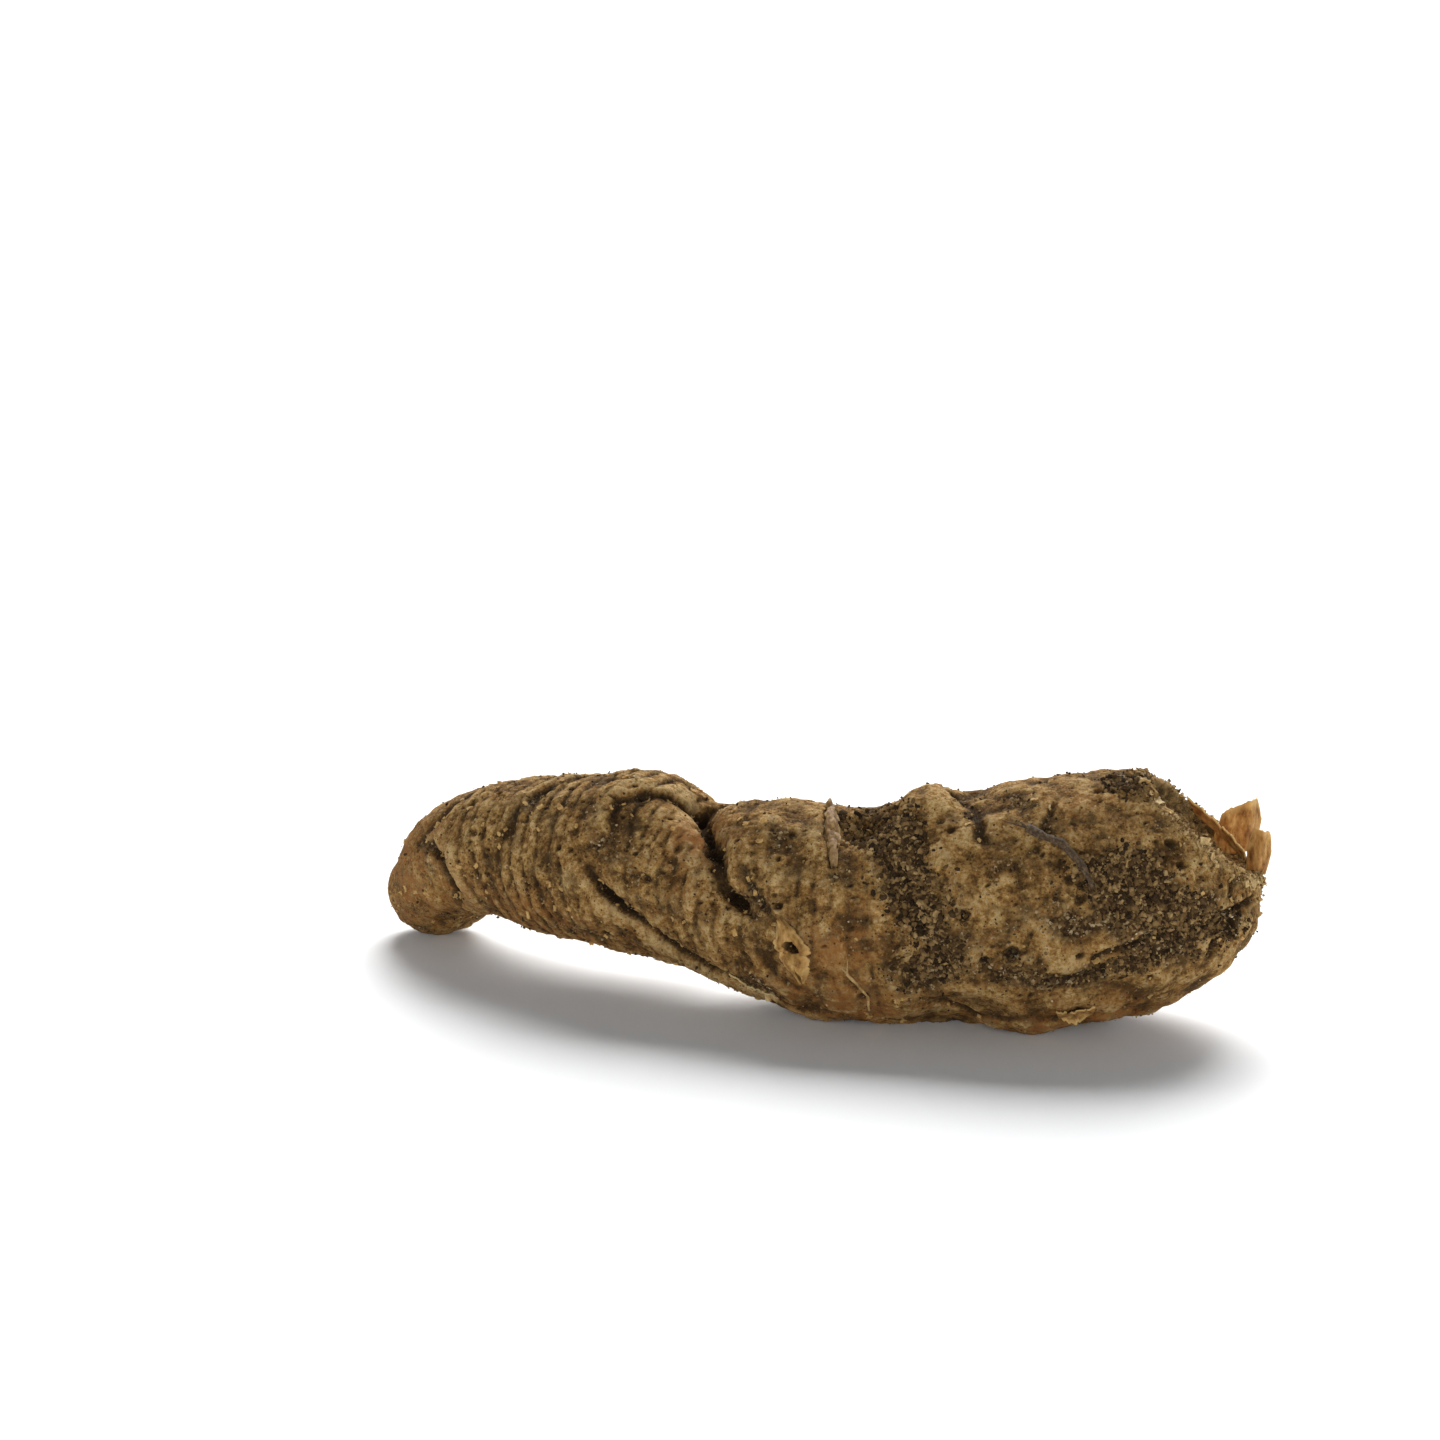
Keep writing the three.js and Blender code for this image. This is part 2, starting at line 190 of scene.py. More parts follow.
@dataclass(frozen=True)
class Sections:
    """Sections across the axis: centres, directions and half sizes, one for each place."""

    centre: np.ndarray
    front: np.ndarray
    up: np.ndarray
    half_width: np.ndarray
    half_height: np.ndarray
    rounding: np.ndarray

    @classmethod
    def at(cls, along: np.ndarray) -> "Sections":
        """Sections at distances along the axis."""
        step = 0.05

        def axis(a: np.ndarray) -> np.ndarray:
            """Points of the axis."""
            return np.stack([through_stations(k, a) for k in (1, 2, 3)], axis=-1)

        run = axis(np.minimum(along + step, LENGTH)) - axis(np.maximum(along - step, 0.0))
        run /= np.linalg.norm(run, axis=-1, keepdims=True)
        run[..., 2] *= 0.35
        run /= np.linalg.norm(run, axis=-1, keepdims=True)
        front = np.stack([run[..., 1], -run[..., 0], np.zeros(run.shape[:-1])], axis=-1)
        front /= np.linalg.norm(front, axis=-1, keepdims=True)
        up = -np.cross(run, front)
        knob = np.clip((KNOB_DOME - along) / KNOB_DOME, 0, 1)
        tip = np.clip((TIP_DOME - (LENGTH - along)) / TIP_DOME, 0, 1)
        rounding = np.sqrt(np.clip(1 - knob**2, 0, 1)) * np.sqrt(np.clip(1 - tip**2, 0, 1))
        return cls(axis(along), front, up, through_stations(4, along) * rounding,
                   through_stations(5, along) * rounding, rounding)


def skin_point(along: np.ndarray, around: np.ndarray, lift: np.ndarray | float = 0.0) -> np.ndarray:
    """Places on the smooth skin or lifted above it, flat where they rest and cut at the scar.

    Args:
        along: Distances along the axis in mm.
        around: Turns in degrees, 0 in front and 90 on top.
        lift: Height above the skin in mm.

    Returns:
        Points in mm in the frame of the model.
    """
    along = np.asarray(along, float)
    around = np.asarray(around, float)
    section = Sections.at(along)
    radius = np.maximum((section.half_width + section.half_height) / 2, 1.0)
    relief = np.zeros(along.shape)
    for lobe in LOBES:
        far = ((along - lobe.along) / lobe.reach) ** 2
        far = far + (turn_between(around, lobe.around) / lobe.sweep) ** 2
        relief += lobe.height * np.exp(-far)
    for furrow in FURROWS:
        far, _ = path_distance(along, around, radius, furrow.path)
        relief -= furrow.depth * np.exp(-((far / furrow.width) ** 2))
    swell = relief * section.rounding + lift
    turn = np.radians(around)
    point = (section.centre
             + section.front * ((section.half_width + swell) * np.cos(turn))[..., None]
             + section.up * ((section.half_height + swell) * np.sin(turn))[..., None])
    over = np.maximum(point @ SCAR_NORMAL - SCAR_OFFSET, 0.0)
    sunk = SCAR_RECESS * smooth_step(over, SCAR_RIM / 3, SCAR_RIM)
    point = point - SCAR_NORMAL * (over + sunk)[..., None]
    point[..., 2] = np.maximum(point[..., 2], 0.0)
    return point + CENTRING


def depth_of_cut(along: np.ndarray, around: np.ndarray) -> np.ndarray:
    """How far the uncut skin would stand over the scar's plane, in mm."""
    section = Sections.at(along)
    turn = np.radians(around)
    point = (section.centre + section.front * (section.half_width * np.cos(turn))[..., None]
             + section.up * (section.half_height * np.sin(turn))[..., None])
    return point @ SCAR_NORMAL - SCAR_OFFSET


# ------------------------------------------------------------------ seeded random fields

SLANT = np.array(Matrix.Rotation(0.93, 3, Vector((0.48, -0.61, 0.63))))  # keeps lattices off the axes


@dataclass(frozen=True)
class Field:
    """Smooth random fields over points in mm, the same on every run for one seed."""

    seed: int

    def _hash(self, cell: np.ndarray, salt: int) -> np.ndarray:
        """Random number from 0 to 1 for each whole-numbered cell."""
        n = (cell[..., 0].astype(np.uint32) * np.uint32(374761393)
             + cell[..., 1].astype(np.uint32) * np.uint32(668265263)
             + cell[..., 2].astype(np.uint32) * np.uint32(2246822519)
             + np.uint32((self.seed * 3266489917 + salt * 974711) % 2**32))
        n = (n ^ (n >> np.uint32(13))) * np.uint32(1274126177)
        n = (n ^ (n >> np.uint32(16))) * np.uint32(2654435761)
        return (n ^ (n >> np.uint32(15))).astype(np.float64) / 2**32

    def value(self, points: np.ndarray, size: float, salt: int = 0) -> np.ndarray:
        """Smooth noise from -1 to 1 whose features are about size mm across."""
        scaled = points @ SLANT / size
        cell = np.floor(scaled).astype(np.int64)
        part = scaled - cell
        part = part**3 * (part * (part * 6 - 15) + 10)
        total = np.zeros(points.shape[:-1])
        for corner in range(8):
            offset = np.array([corner & 1, corner >> 1 & 1, corner >> 2 & 1])
            weight = np.prod(np.where(offset, part, 1 - part), axis=-1)
            total += weight * self._hash(cell + offset, salt)
        return total * 2 - 1

    def fractal(self, points: np.ndarray, size: float, octaves: int, gain: float = 0.5) -> np.ndarray:
        """Sum of noises, each half the size of the one before."""
        total = np.zeros(points.shape[:-1])
        strength, span = 1.0, 0.0
        for octave in range(octaves):
            total += strength * self.value(points, size / 2**octave, octave)
            points = points @ SLANT
            span += strength
            strength *= gain
        return total / span

    def ridged(self, points: np.ndarray, size: float, octaves: int) -> np.ndarray:
        """Noise with sharp creases at 0 and rounded lands up to 1."""
        total = np.zeros(points.shape[:-1])
        for octave in range(octaves):
            total += np.abs(self.value(points, size / 2**octave, octave + 20)) / 2**octave
            points = points @ SLANT
        return total / (2 - 2.0 ** (1 - octaves))

    def cells(self, points: np.ndarray, size: float) -> tuple[np.ndarray, np.ndarray]:
        """Distance to the nearest of scattered points, and a random number for that point."""
        scaled = points / size
        cell = np.floor(scaled).astype(np.int64)
        best = np.full(points.shape[:-1], np.inf)
        name = np.zeros(points.shape[:-1])
        for dx in (-1, 0, 1):
            for dy in (-1, 0, 1):
                for dz in (-1, 0, 1):
                    near = cell + np.array([dx, dy, dz])
                    spot = near + np.stack([self._hash(near, 40 + k) for k in range(3)], axis=-1)
                    far = np.linalg.norm(scaled - spot, axis=-1)
                    closer = far < best
                    name = np.where(closer, self._hash(near, 50), name)
                    best = np.minimum(best, far)
        return best, name


# ------------------------------------------------------------------ meshes

def make_mesh(name: str, points: np.ndarray, faces: np.ndarray,
              tones: dict[str, np.ndarray] | None = None, smooth: bool = True) -> bpy.types.Object:
    """Object from points in mm and faces of equal size.

    Args:
        name: Name of the object.
        points: Corner points in mm.
        faces: Whole numbers, one row of corners for each face.
        tones: Named values for each point that the finish reads.
        smooth: Whether the faces shade smoothly.

    Returns:
        The new object, linked into the scene.
    """
    mesh = bpy.data.meshes.new(name)
    sides = faces.shape[1]
    mesh.vertices.add(len(points))
    mesh.vertices.foreach_set("co", (points * METRE).astype(np.float32).ravel())
    mesh.loops.add(faces.size)
    mesh.loops.foreach_set("vertex_index", faces.astype(np.int32).ravel())
    mesh.polygons.add(len(faces))
    mesh.polygons.foreach_set("loop_start", np.arange(len(faces), dtype=np.int32) * sides)
    mesh.polygons.foreach_set("use_smooth", np.full(len(faces), smooth))
    mesh.update(calc_edges=True)
    for tone, values in (tones or {}).items():
        layer = mesh.attributes.new(tone, "FLOAT", "POINT")
        layer.data.foreach_set("value", values.astype(np.float32).ravel())
    mesh.validate()
    piece = bpy.data.objects.new(name, mesh)
    bpy.context.scene.collection.objects.link(piece)
    return piece


def grid_faces(rows: int, columns: int, closed: bool = False) -> np.ndarray:
    """Four-cornered faces of a grid of points, closed around its columns or open."""
    row, column = np.meshgrid(np.arange(rows - 1), np.arange(columns - (not closed)), indexing="ij")
    after = (column + 1) % columns
    faces = [row * columns + column, row * columns + after,
             (row + 1) * columns + after, (row + 1) * columns + column]
    return np.stack(faces, axis=-1).reshape(-1, 4)


def grid_normals(points: np.ndarray) -> np.ndarray:
    """Unit normals of a grid of points."""
    normal = np.cross(np.gradient(points, axis=0), np.gradient(points, axis=1))
    return normal / np.maximum(np.linalg.norm(normal, axis=-1, keepdims=True), 1e-9)


def sheet_mesh(name: str, points: np.ndarray, thickness: float, keep: np.ndarray | None = None,
               tones: dict[str, np.ndarray] | None = None) -> bpy.types.Object:
    """Closed thin sheet around a grid of points, with holes and ragged edges where keep is false.

    Args:
        name: Name of the object.
        points: Grid of points in mm.
        thickness: Thickness in mm.
        keep: Whether each cell of the grid is there.
        tones: Named values for each grid point.

    Returns:
        The new object.
    """
    rows, columns = points.shape[:2]
    faces = grid_faces(rows, columns)
    if keep is not None:
        faces = faces[keep.reshape(-1)]
    normal = grid_normals(points)
    front = (points + normal * thickness / 2).reshape(-1, 3)
    back = (points - normal * thickness / 2).reshape(-1, 3)
    count = len(front)
    edges = np.concatenate([faces[:, [k, (k + 1) % 4]] for k in range(4)])
    keys = {(int(a), int(b)) for a, b in edges}
    border = np.array([(a, b) for a, b in keys if (b, a) not in keys])
    border = border[np.lexsort((border[:, 1], border[:, 0]))]
    walls = np.stack([border[:, 1], border[:, 0], border[:, 0] + count, border[:, 1] + count], axis=-1)
    every = np.concatenate([faces, faces[:, ::-1] + count, walls])
    used, renamed = np.unique(every, return_inverse=True)
    both = np.concatenate([front, back])[used]
    values = {tone: np.tile(v.ravel(), 2)[used] for tone, v in (tones or {}).items()}
    return make_mesh(name, both, renamed.reshape(every.shape), values)


def tube_mesh(points: np.ndarray, radii: np.ndarray, sides: int) -> tuple[np.ndarray, np.ndarray]:
    """Points and faces of a round tube through points, pinched shut at both ends.

    Args:
        points: Middle line of the tube in mm.
        radii: Radius at each point.
        sides: Sides around.

    Returns:
        Corner points and triangles.
    """
    run = np.gradient(points, axis=0)
    run /= np.maximum(np.linalg.norm(run, axis=1, keepdims=True), 1e-9)
    side = np.cross(run, np.array([0.31, -0.2, 0.93]))
    side /= np.linalg.norm(side, axis=1, keepdims=True)
    other = np.cross(run, side)
    turn = np.linspace(0, 2 * math.pi, sides, endpoint=False)[None, :]
    ring = side[:, None] * np.cos(turn)[..., None] + other[:, None] * np.sin(turn)[..., None]
    rings = points[:, None] + ring * radii[:, None, None]
    count = len(points) * sides
    ends = np.stack([points[0] - run[0] * radii[0] * 0.5, points[-1] + run[-1] * radii[-1] * 0.5])
    quads = grid_faces(len(points), sides, closed=True)[:, ::-1]
    here = np.arange(sides)
    after = (here + 1) % sides
    last = (len(points) - 1) * sides
    faces = np.concatenate([
        quads[:, [0, 1, 2]], quads[:, [0, 2, 3]],
        np.stack([np.full(sides, count), here, after], axis=-1),
        np.stack([np.full(sides, count + 1), last + after, last + here], axis=-1)])
    every = np.concatenate([rings.reshape(-1, 3), ends])
    corner = every[faces] - every.mean(axis=0)
    volume = np.einsum("ij,ij->i", corner[:, 0], np.cross(corner[:, 1], corner[:, 2])).sum()
    return every, faces if volume > 0 else faces[:, ::-1]


def join_parts(parts: list[tuple[np.ndarray, np.ndarray]]) -> tuple[np.ndarray, np.ndarray]:
    """Several point and face lists as one."""
    points, faces, start = [], [], 0
    for part_points, part_faces in parts:
        points.append(part_points)
        faces.append(part_faces + start)
        start += len(part_points)
    return np.concatenate(points), np.concatenate(faces)


# ------------------------------------------------------------------ shading helper

class Shading:
    """Adds and links the nodes of one material."""

    def __init__(self, name: str) -> None:
        """Starts a material that has only its surface shader."""
        self.material = bpy.data.materials.new(name)
        self.material.use_nodes = True
        self.tree = self.material.node_tree
        self.shader = self.tree.nodes["Principled BSDF"]
        self.where = self.node("ShaderNodeTexCoord").outputs["Object"]

    def node(self, kind: str, **settings: object) -> bpy.types.Node:
        """New node with its own settings."""
        made = self.tree.nodes.new(kind)
        for key, value in settings.items():
            setattr(made, key, value)
        return made

    def put(self, value: object, socket: bpy.types.NodeSocket) -> None:
        """Links a socket to another node, or sets its own value."""
        if isinstance(value, bpy.types.NodeSocket):
            self.tree.links.new(value, socket)
        elif isinstance(value, tuple) and len(value) == 3 and socket.type == "RGBA":
            socket.default_value = (*value, 1.0)
        else:
            socket.default_value = value

    def stretched(self, x: float, y: float, z: float) -> bpy.types.NodeSocket:
        """Object coordinates scaled differently along each axis."""
        mapping = self.node("ShaderNodeMapping")
        self.put(self.where, mapping.inputs["Vector"])
        mapping.inputs["Scale"].default_value = (x, y, z)
        return mapping.outputs["Vector"]

    def noise(self, size: float, detail: float = 5.0, rough: float = 0.6, distort: float = 0.0,
              where: bpy.types.NodeSocket | None = None) -> bpy.types.NodeSocket:
        """Noise from 0 to 1 whose features are about size mm across."""
        made = self.node("ShaderNodeTexNoise")
        self.put(where or self.where, made.inputs["Vector"])
        made.inputs["Scale"].default_value = 1 / (size * METRE)
        made.inputs["Detail"].default_value = detail
        made.inputs["Roughness"].default_value = rough
        made.inputs["Distortion"].default_value = distort
        return made.outputs["Fac"]

    def grains(self, size: float) -> tuple[bpy.types.NodeSocket, bpy.types.NodeSocket]:
        """Distance field of close-packed grains of size mm, and a random colour for each."""
        made = self.node("ShaderNodeTexVoronoi")
        self.put(self.where, made.inputs["Vector"])
        made.inputs["Scale"].default_value = 1 / (size * METRE)
        return made.outputs["Distance"], made.outputs["Color"]

    def tone(self, name: str) -> bpy.types.NodeSocket:
        """Value that the mesh carries under this name."""
        return self.node("ShaderNodeAttribute", attribute_name=name).outputs["Fac"]

    def sum(self, kind: str, a: object, b: object = 0.5, clamp: bool = False) -> bpy.types.NodeSocket:
        """One step of arithmetic, such as ADD or MULTIPLY."""
        made = self.node("ShaderNodeMath", operation=kind, use_clamp=clamp)
        self.put(a, made.inputs[0])
        self.put(b, made.inputs[1])
        return made.outputs[0]

    def rise(self, value: object, low: float, high: float, top: float = 1.0) -> bpy.types.NodeSocket:
        """Smooth rise from 0 at low to top at high."""
        made = self.node("ShaderNodeMapRange", interpolation_type="SMOOTHSTEP")
        self.put(value, made.inputs["Value"])
        for socket, number in (("From Min", low), ("From Max", high), ("To Max", top)):
            made.inputs[socket].default_value = number
        return made.outputs["Result"]

    def swing(self, parts: tuple[tuple[bpy.types.NodeSocket, float], ...]) -> bpy.types.NodeSocket:
        """Sum around 0.5 of values that each swing around 0.5, times their weights."""
        total: object = 0.5
        for value, weight in parts:
            total = self.sum("ADD", self.sum("MULTIPLY", self.sum("SUBTRACT", value), weight), total)
        return total

    def ramp(self, value: object, stops: tuple[tuple[float, Colour], ...]) -> bpy.types.NodeSocket:
        """Colour read off a row of stops."""
        made = self.node("ShaderNodeValToRGB")
        band = made.color_ramp
        while len(band.elements) < len(stops):
            band.elements.new(0.5)
        for element, (place, colour) in zip(band.elements, stops):
            element.position = place
            element.color = (*colour, 1.0)
        self.put(value, made.inputs["Fac"])
        return made.outputs["Color"]

    def mix(self, share: object, a: object, b: object, blend: str = "MIX") -> bpy.types.NodeSocket:
        """Mix of two colours; a share of 1 gives the second."""
        made = self.node("ShaderNodeMix", data_type="RGBA", blend_type=blend)
        self.put(share, made.inputs[0])
        self.put(a, made.inputs[6])
        self.put(b, made.inputs[7])
        return made.outputs[2]

    def bump(self, height: object, distance: float, strength: float = 1.0,
             over: bpy.types.NodeSocket | None = None) -> bpy.types.NodeSocket:
        """Bumped normal; distance is the bump's height in mm."""
        made = self.node("ShaderNodeBump")
        self.put(height, made.inputs["Height"])
        made.inputs["Distance"].default_value = distance * METRE
        made.inputs["Strength"].default_value = strength
        if over is not None:
            self.put(over, made.inputs["Normal"])
        return made.outputs["Normal"]

    def finish(self, colour: object, rough: object, normal: object, gloss: float = 0.25) -> bpy.types.Material:
        """Joins colour, roughness and normal to the shader.

        Args:
            colour: Surface colour.
            rough: Roughness from 0 to 1.
            normal: Bumped normal.
            gloss: Strength of the reflection at the surface.

        Returns:
            The finished material.
        """
        self.put(colour, self.shader.inputs["Base Color"])
        self.put(rough, self.shader.inputs["Roughness"])
        self.put(normal, self.shader.inputs["Normal"])
        self.shader.inputs["Specular IOR Level"].default_value = gloss
        return self.material


class Tone(str, Enum):
    """Values that the meshes carry for their finishes."""

    SOIL = "soil"
    # Paler bark: partly its own colour, partly painted highlight on lit tops and ring crests.
    PALE_AND_HIGHLIGHT = "pale"
    WARM = "warm"
    # Depth of grooves, cracks and pits, where the bark paints black shade.
    HOLLOW_PAINTED_SHADE = "hollow"
    FACE = "face"
    RIM = "rim"
    GRAIN = "grain"
    EDGE = "edge"
    # How far the fine relief stands up: painted lighter there as highlight, darker in the lows as shade, and kept bare
    # of soil.
    RAISED_HIGHLIGHT_AND_BARE = "high"


@dataclass(frozen=True)
class BarkFinish:
    """Wrinkled brown bark, dusted and caked with soil, with its pale stem scar, painted shade in its hollows and
    painted highlight on its raised parts.
    """

    # Black soil crumbs, and the painted shade of hollows and pits.
    black: Colour = (0.016, 0.010, 0.006)
    dark: Colour = (0.064, 0.035, 0.012)
    brown: Colour = (0.235, 0.127, 0.038)
    tan: Colour = (0.425, 0.253, 0.084)
    straw: Colour = (0.600, 0.420, 0.190)
    orange: Colour = (0.310, 0.132, 0.036)
    dust: Colour = (0.205, 0.142, 0.064)
    soil: Colour = (0.052, 0.029, 0.012)
    sand: Colour = (0.500, 0.390, 0.230)

    def build(self) -> bpy.types.Material:
        """Builds the bark material."""
        s = Shading("bark")
        high = s.tone(Tone.RAISED_HIGHLIGHT_AND_BARE)
        fine = s.noise(0.5, 6.0, 0.72)
        middle = s.noise(1.7, 6.0, 0.68, 0.3)
        broad = s.noise(7.0, 4.0, 0.6, 0.4)
        # Raised relief is painted lighter and its lows darker: painted highlight and shade.
        tint = s.swing(((high, 0.7), (fine, 2.5), (middle, 0.9), (broad, 0.5)))
        colour = s.ramp(tint, ((0.10, self.dark), (0.42, self.brown), (0.70, self.tan), (0.95, self.straw)))
        warm = s.sum("MULTIPLY", s.tone(Tone.WARM), s.rise(s.noise(2.1, 4.0), 0.34, 0.56), True)
        colour = s.mix(warm, colour, self.orange)
        # Paler patches: the bark's own paler colour, and painted highlight on the lit tops and ring crests.
        pale = s.sum("MULTIPLY", s.tone(Tone.PALE_AND_HIGHLIGHT), s.rise(s.noise(1.0, 6.0, 0.7), 0.40, 0.62), True)
        colour = s.mix(s.sum("MULTIPLY", pale, 0.65), colour, s.ramp(tint, ((0.2, self.brown), (0.6, self.tan),
                                                                        (0.9, self.straw))))
        colour = s.mix(s.rise(s.noise(3.1, 6.0, 0.7), 0.5, 0.66, 0.5), colour, self.dust)
        # Dark film of fine soil, heavier in the lows of the relief, where it is also painted shade.
        film = s.swing(((s.noise(0.75, 7.0, 0.8, 0.4), 3.0), (high, -0.9), (s.noise(5.0, 4.0), 0.9)))
        colour = s.mix(s.rise(film, 0.40, 1.0, 0.8), colour, self.dark)
        fibre = s.ramp(s.noise(0.6, 6.0, 0.75, 0.8), (
            (0.36, self.soil), (0.48, self.dust), (0.60, self.tan), (0.72, self.straw)))
        colour = s.mix(s.tone(Tone.FACE), colour, fibre)
        rim = s.sum("MULTIPLY", s.tone(Tone.RIM), s.rise(s.noise(0.8, 5.0, 0.7), 0.34, 0.54), True)
        colour = s.mix(s.sum("MULTIPLY", rim, 0.85), colour, s.mix(s.rise(fine, 0.42, 0.62), self.tan, self.straw))
        crumb, crumb_colour = s.grains(0.3)
        shade = s.node("ShaderNodeSeparateColor")
        s.put(crumb_colour, shade.inputs[0])
        earth = s.ramp(shade.outputs[0], (
            (0.0, self.black), (0.4, self.soil), (0.66, (0.120, 0.072, 0.030)), (0.9, (0.24, 0.155, 0.068)),
            (0.985, self.sand)))
        cover = s.swing(((fine, 2.4), (middle, 1.4), (high, -0.6)))
        cover = s.sum("ADD", s.tone(Tone.SOIL), s.sum("SUBTRACT", cover))
        colour = s.mix(s.rise(cover, 0.08, 0.86, 0.9), colour, earth)
        specks = s.sum("MULTIPLY", s.rise(shade.outputs[1], 0.955, 0.985, 0.55), s.rise(crumb, 0.42, 0.2), True)
        colour = s.mix(specks, colour, self.sand)
        # Painted shade: black dots that stand for the shade in tiny pits of the grain.
        pits = s.sum("MULTIPLY", s.rise(shade.outputs[2], 0.90, 0.95, 0.8), s.rise(crumb, 0.5, 0.2), True)
        colour = s.mix(pits, colour, self.black)
        # Painted shade: black in the grooves, cracks, pits and gaps of the skin.
        colour = s.mix(s.tone(Tone.HOLLOW_PAINTED_SHADE), colour, self.black)
        normal = s.bump(middle, 0.35, 0.8)
        normal = s.bump(s.noise(0.32, 6.0, 0.75), 0.30, 1.0, normal)
        normal = s.bump(s.sum("MULTIPLY", crumb, -1.0), 0.14, 0.8, normal)
        normal = s.bump(s.noise(0.1, 3.0), 0.05, 0.8, normal)
        rough = s.sum("SUBTRACT", 0.98, s.rise(fine, 0.3, 0.7, 0.13))
        return s.finish(colour, rough, normal, 0.08)


@dataclass(frozen=True)
class PaperFinish:
    """Dry papery leaf: veined, translucent, darker in its folds and paler at its edges."""

    name: str
    deep: Colour
    body: Colour
    light: Colour

    def build(self) -> bpy.types.Material:
        """Builds the paper material."""
        s = Shading(self.name)
        veins = s.noise(0.5, 5.0, 0.65, 0.0, s.stretched(1.0, 1.0, 0.22))
        blotch = s.noise(1.4, 5.0, 0.6)
        tint = s.sum("ADD", s.sum("MULTIPLY", veins, 0.55), s.sum("MULTIPLY", blotch, 0.5))
        colour = s.ramp(tint, ((0.38, self.deep), (0.52, self.body), (0.68, self.light)))
        colour = s.mix(s.sum("MULTIPLY", s.tone(Tone.EDGE), 0.8), colour, self.light)
        spots = s.rise(s.noise(0.35, 4.0, 0.7), 0.62, 0.7, 0.7)
        colour = s.mix(spots, colour, self.deep)
        normal = s.bump(veins, 0.12)
        normal = s.bump(s.noise(0.25, 5.0, 0.7), 0.07, 0.8, normal)
        rough = s.sum("ADD", s.sum("MULTIPLY", blotch, 0.3), 0.5)
        s.shader.inputs["Subsurface Weight"].default_value = 0.12
        s.shader.inputs["Subsurface Radius"].default_value = (0.0012, 0.0006, 0.0003)
        s.shader.inputs["Subsurface Scale"].default_value = 1.0
        return s.finish(colour, rough, normal, 0.15)


SOIL_STOPS = (
    (0.0, (0.022, 0.013, 0.006)), (0.28, (0.060, 0.034, 0.014)), (0.55, (0.145, 0.086, 0.033)),
    (0.80, (0.28, 0.178, 0.072)), (0.94, (0.44, 0.305, 0.14)), (1.0, (0.66, 0.54, 0.36)))
CRUMB_STOPS = (
    (0.0, (0.10, 0.052, 0.018)), (0.35, (0.24, 0.142, 0.052)), (0.7, (0.42, 0.28, 0.12)),
    (1.0, (0.68, 0.53, 0.31)))


@dataclass(frozen=True)
class GrainFinish:
    """Loose grains, each with its own shade off a row of stops."""

    name: str
    stops: tuple[tuple[float, Colour], ...]

    def build(self) -> bpy.types.Material:
        """Builds the grain material."""
        s = Shading(self.name)
        colour = s.ramp(s.tone(Tone.GRAIN), self.stops)
        mottle = s.noise(0.12, 4.0, 0.7)
        colour = s.mix(s.rise(mottle, 0.45, 0.65, 0.35), colour, (0.35, 0.28, 0.22), "MULTIPLY")
        normal = s.bump(s.noise(0.09, 4.0, 0.7), 0.05)
        rough = s.sum("SUBTRACT", 1.0, s.rise(s.tone(Tone.GRAIN), 0.9, 1.0, 0.45))
        return s.finish(colour, rough, normal, 0.12)


@dataclass(frozen=True)
class RootFinish:
    """Shrivelled dark rootlet with pale streaks along it."""

    def build(self) -> bpy.types.Material:
        """Builds the rootlet material."""
        s = Shading("rootlet_skin")
        streak = s.noise(0.3, 6.0, 0.7, 0.3)
        colour = s.ramp(streak, ((0.34, (0.026, 0.016, 0.009)), (0.52, (0.080, 0.050, 0.026)),
                                 (0.68, (0.19, 0.13, 0.068))))
        normal = s.bump(streak, 0.12)
        normal = s.bump(s.noise(0.1, 4.0), 0.04, 0.8, normal)
        return s.finish(colour, s.sum("ADD", s.sum("MULTIPLY", streak, 0.3), 0.62), normal, 0.25)


@dataclass(frozen=True)
class StageFinish:
    """Matt near-white paint of the table and of the wall of the light tent."""

    name: str
    colour: Colour
    glow: float = 0.0

    def build(self) -> bpy.types.Material:
        """Builds the table material."""
        s = Shading(self.name)
        mottle = s.noise(30.0, 3.0)
        colour = s.mix(s.sum("MULTIPLY", mottle, 0.04), self.colour, (0.78, 0.79, 0.8))
        if self.glow:
            s.shader.inputs["Emission Color"].default_value = (1.0, 1.0, 1.0, 1.0)
            s.shader.inputs["Emission Strength"].default_value = self.glow
        return s.finish(colour, 0.7, s.bump(s.noise(0.5, 3.0), 0.01, 0.3), 0.2)


# ------------------------------------------------------------------ the grown body

def smoothed(grid: np.ndarray, reach: int) -> np.ndarray:
    """Mean of a closed grid over squares of reach cells to each side."""
    rows = np.pad(grid, ((reach, reach), (0, 0)), mode="edge")
    rows = sum(rows[k:k + grid.shape[0]] for k in range(2 * reach + 1)) / (2 * reach + 1)
    return sum(np.roll(rows, k, axis=1) for k in range(-reach, reach + 1)) / (2 * reach + 1)


STRIP_RUN = np.array([5.4, 0.0, -4.5]) / 7.03  # direction of the scale strip across the scar


@dataclass(frozen=True)
class Patch:
    """Soft-edged patch of the skin that carries a tone."""

    along: float
    around: float
    reach: float
    sweep: float
    strength: float = 1.0


@dataclass(frozen=True)
class RootScar:
    """Round scar or pit of a lost root: place, radius, depth and height of its rim in mm."""

    along: float
    around: float
    radius: float
    depth: float
    rim: float


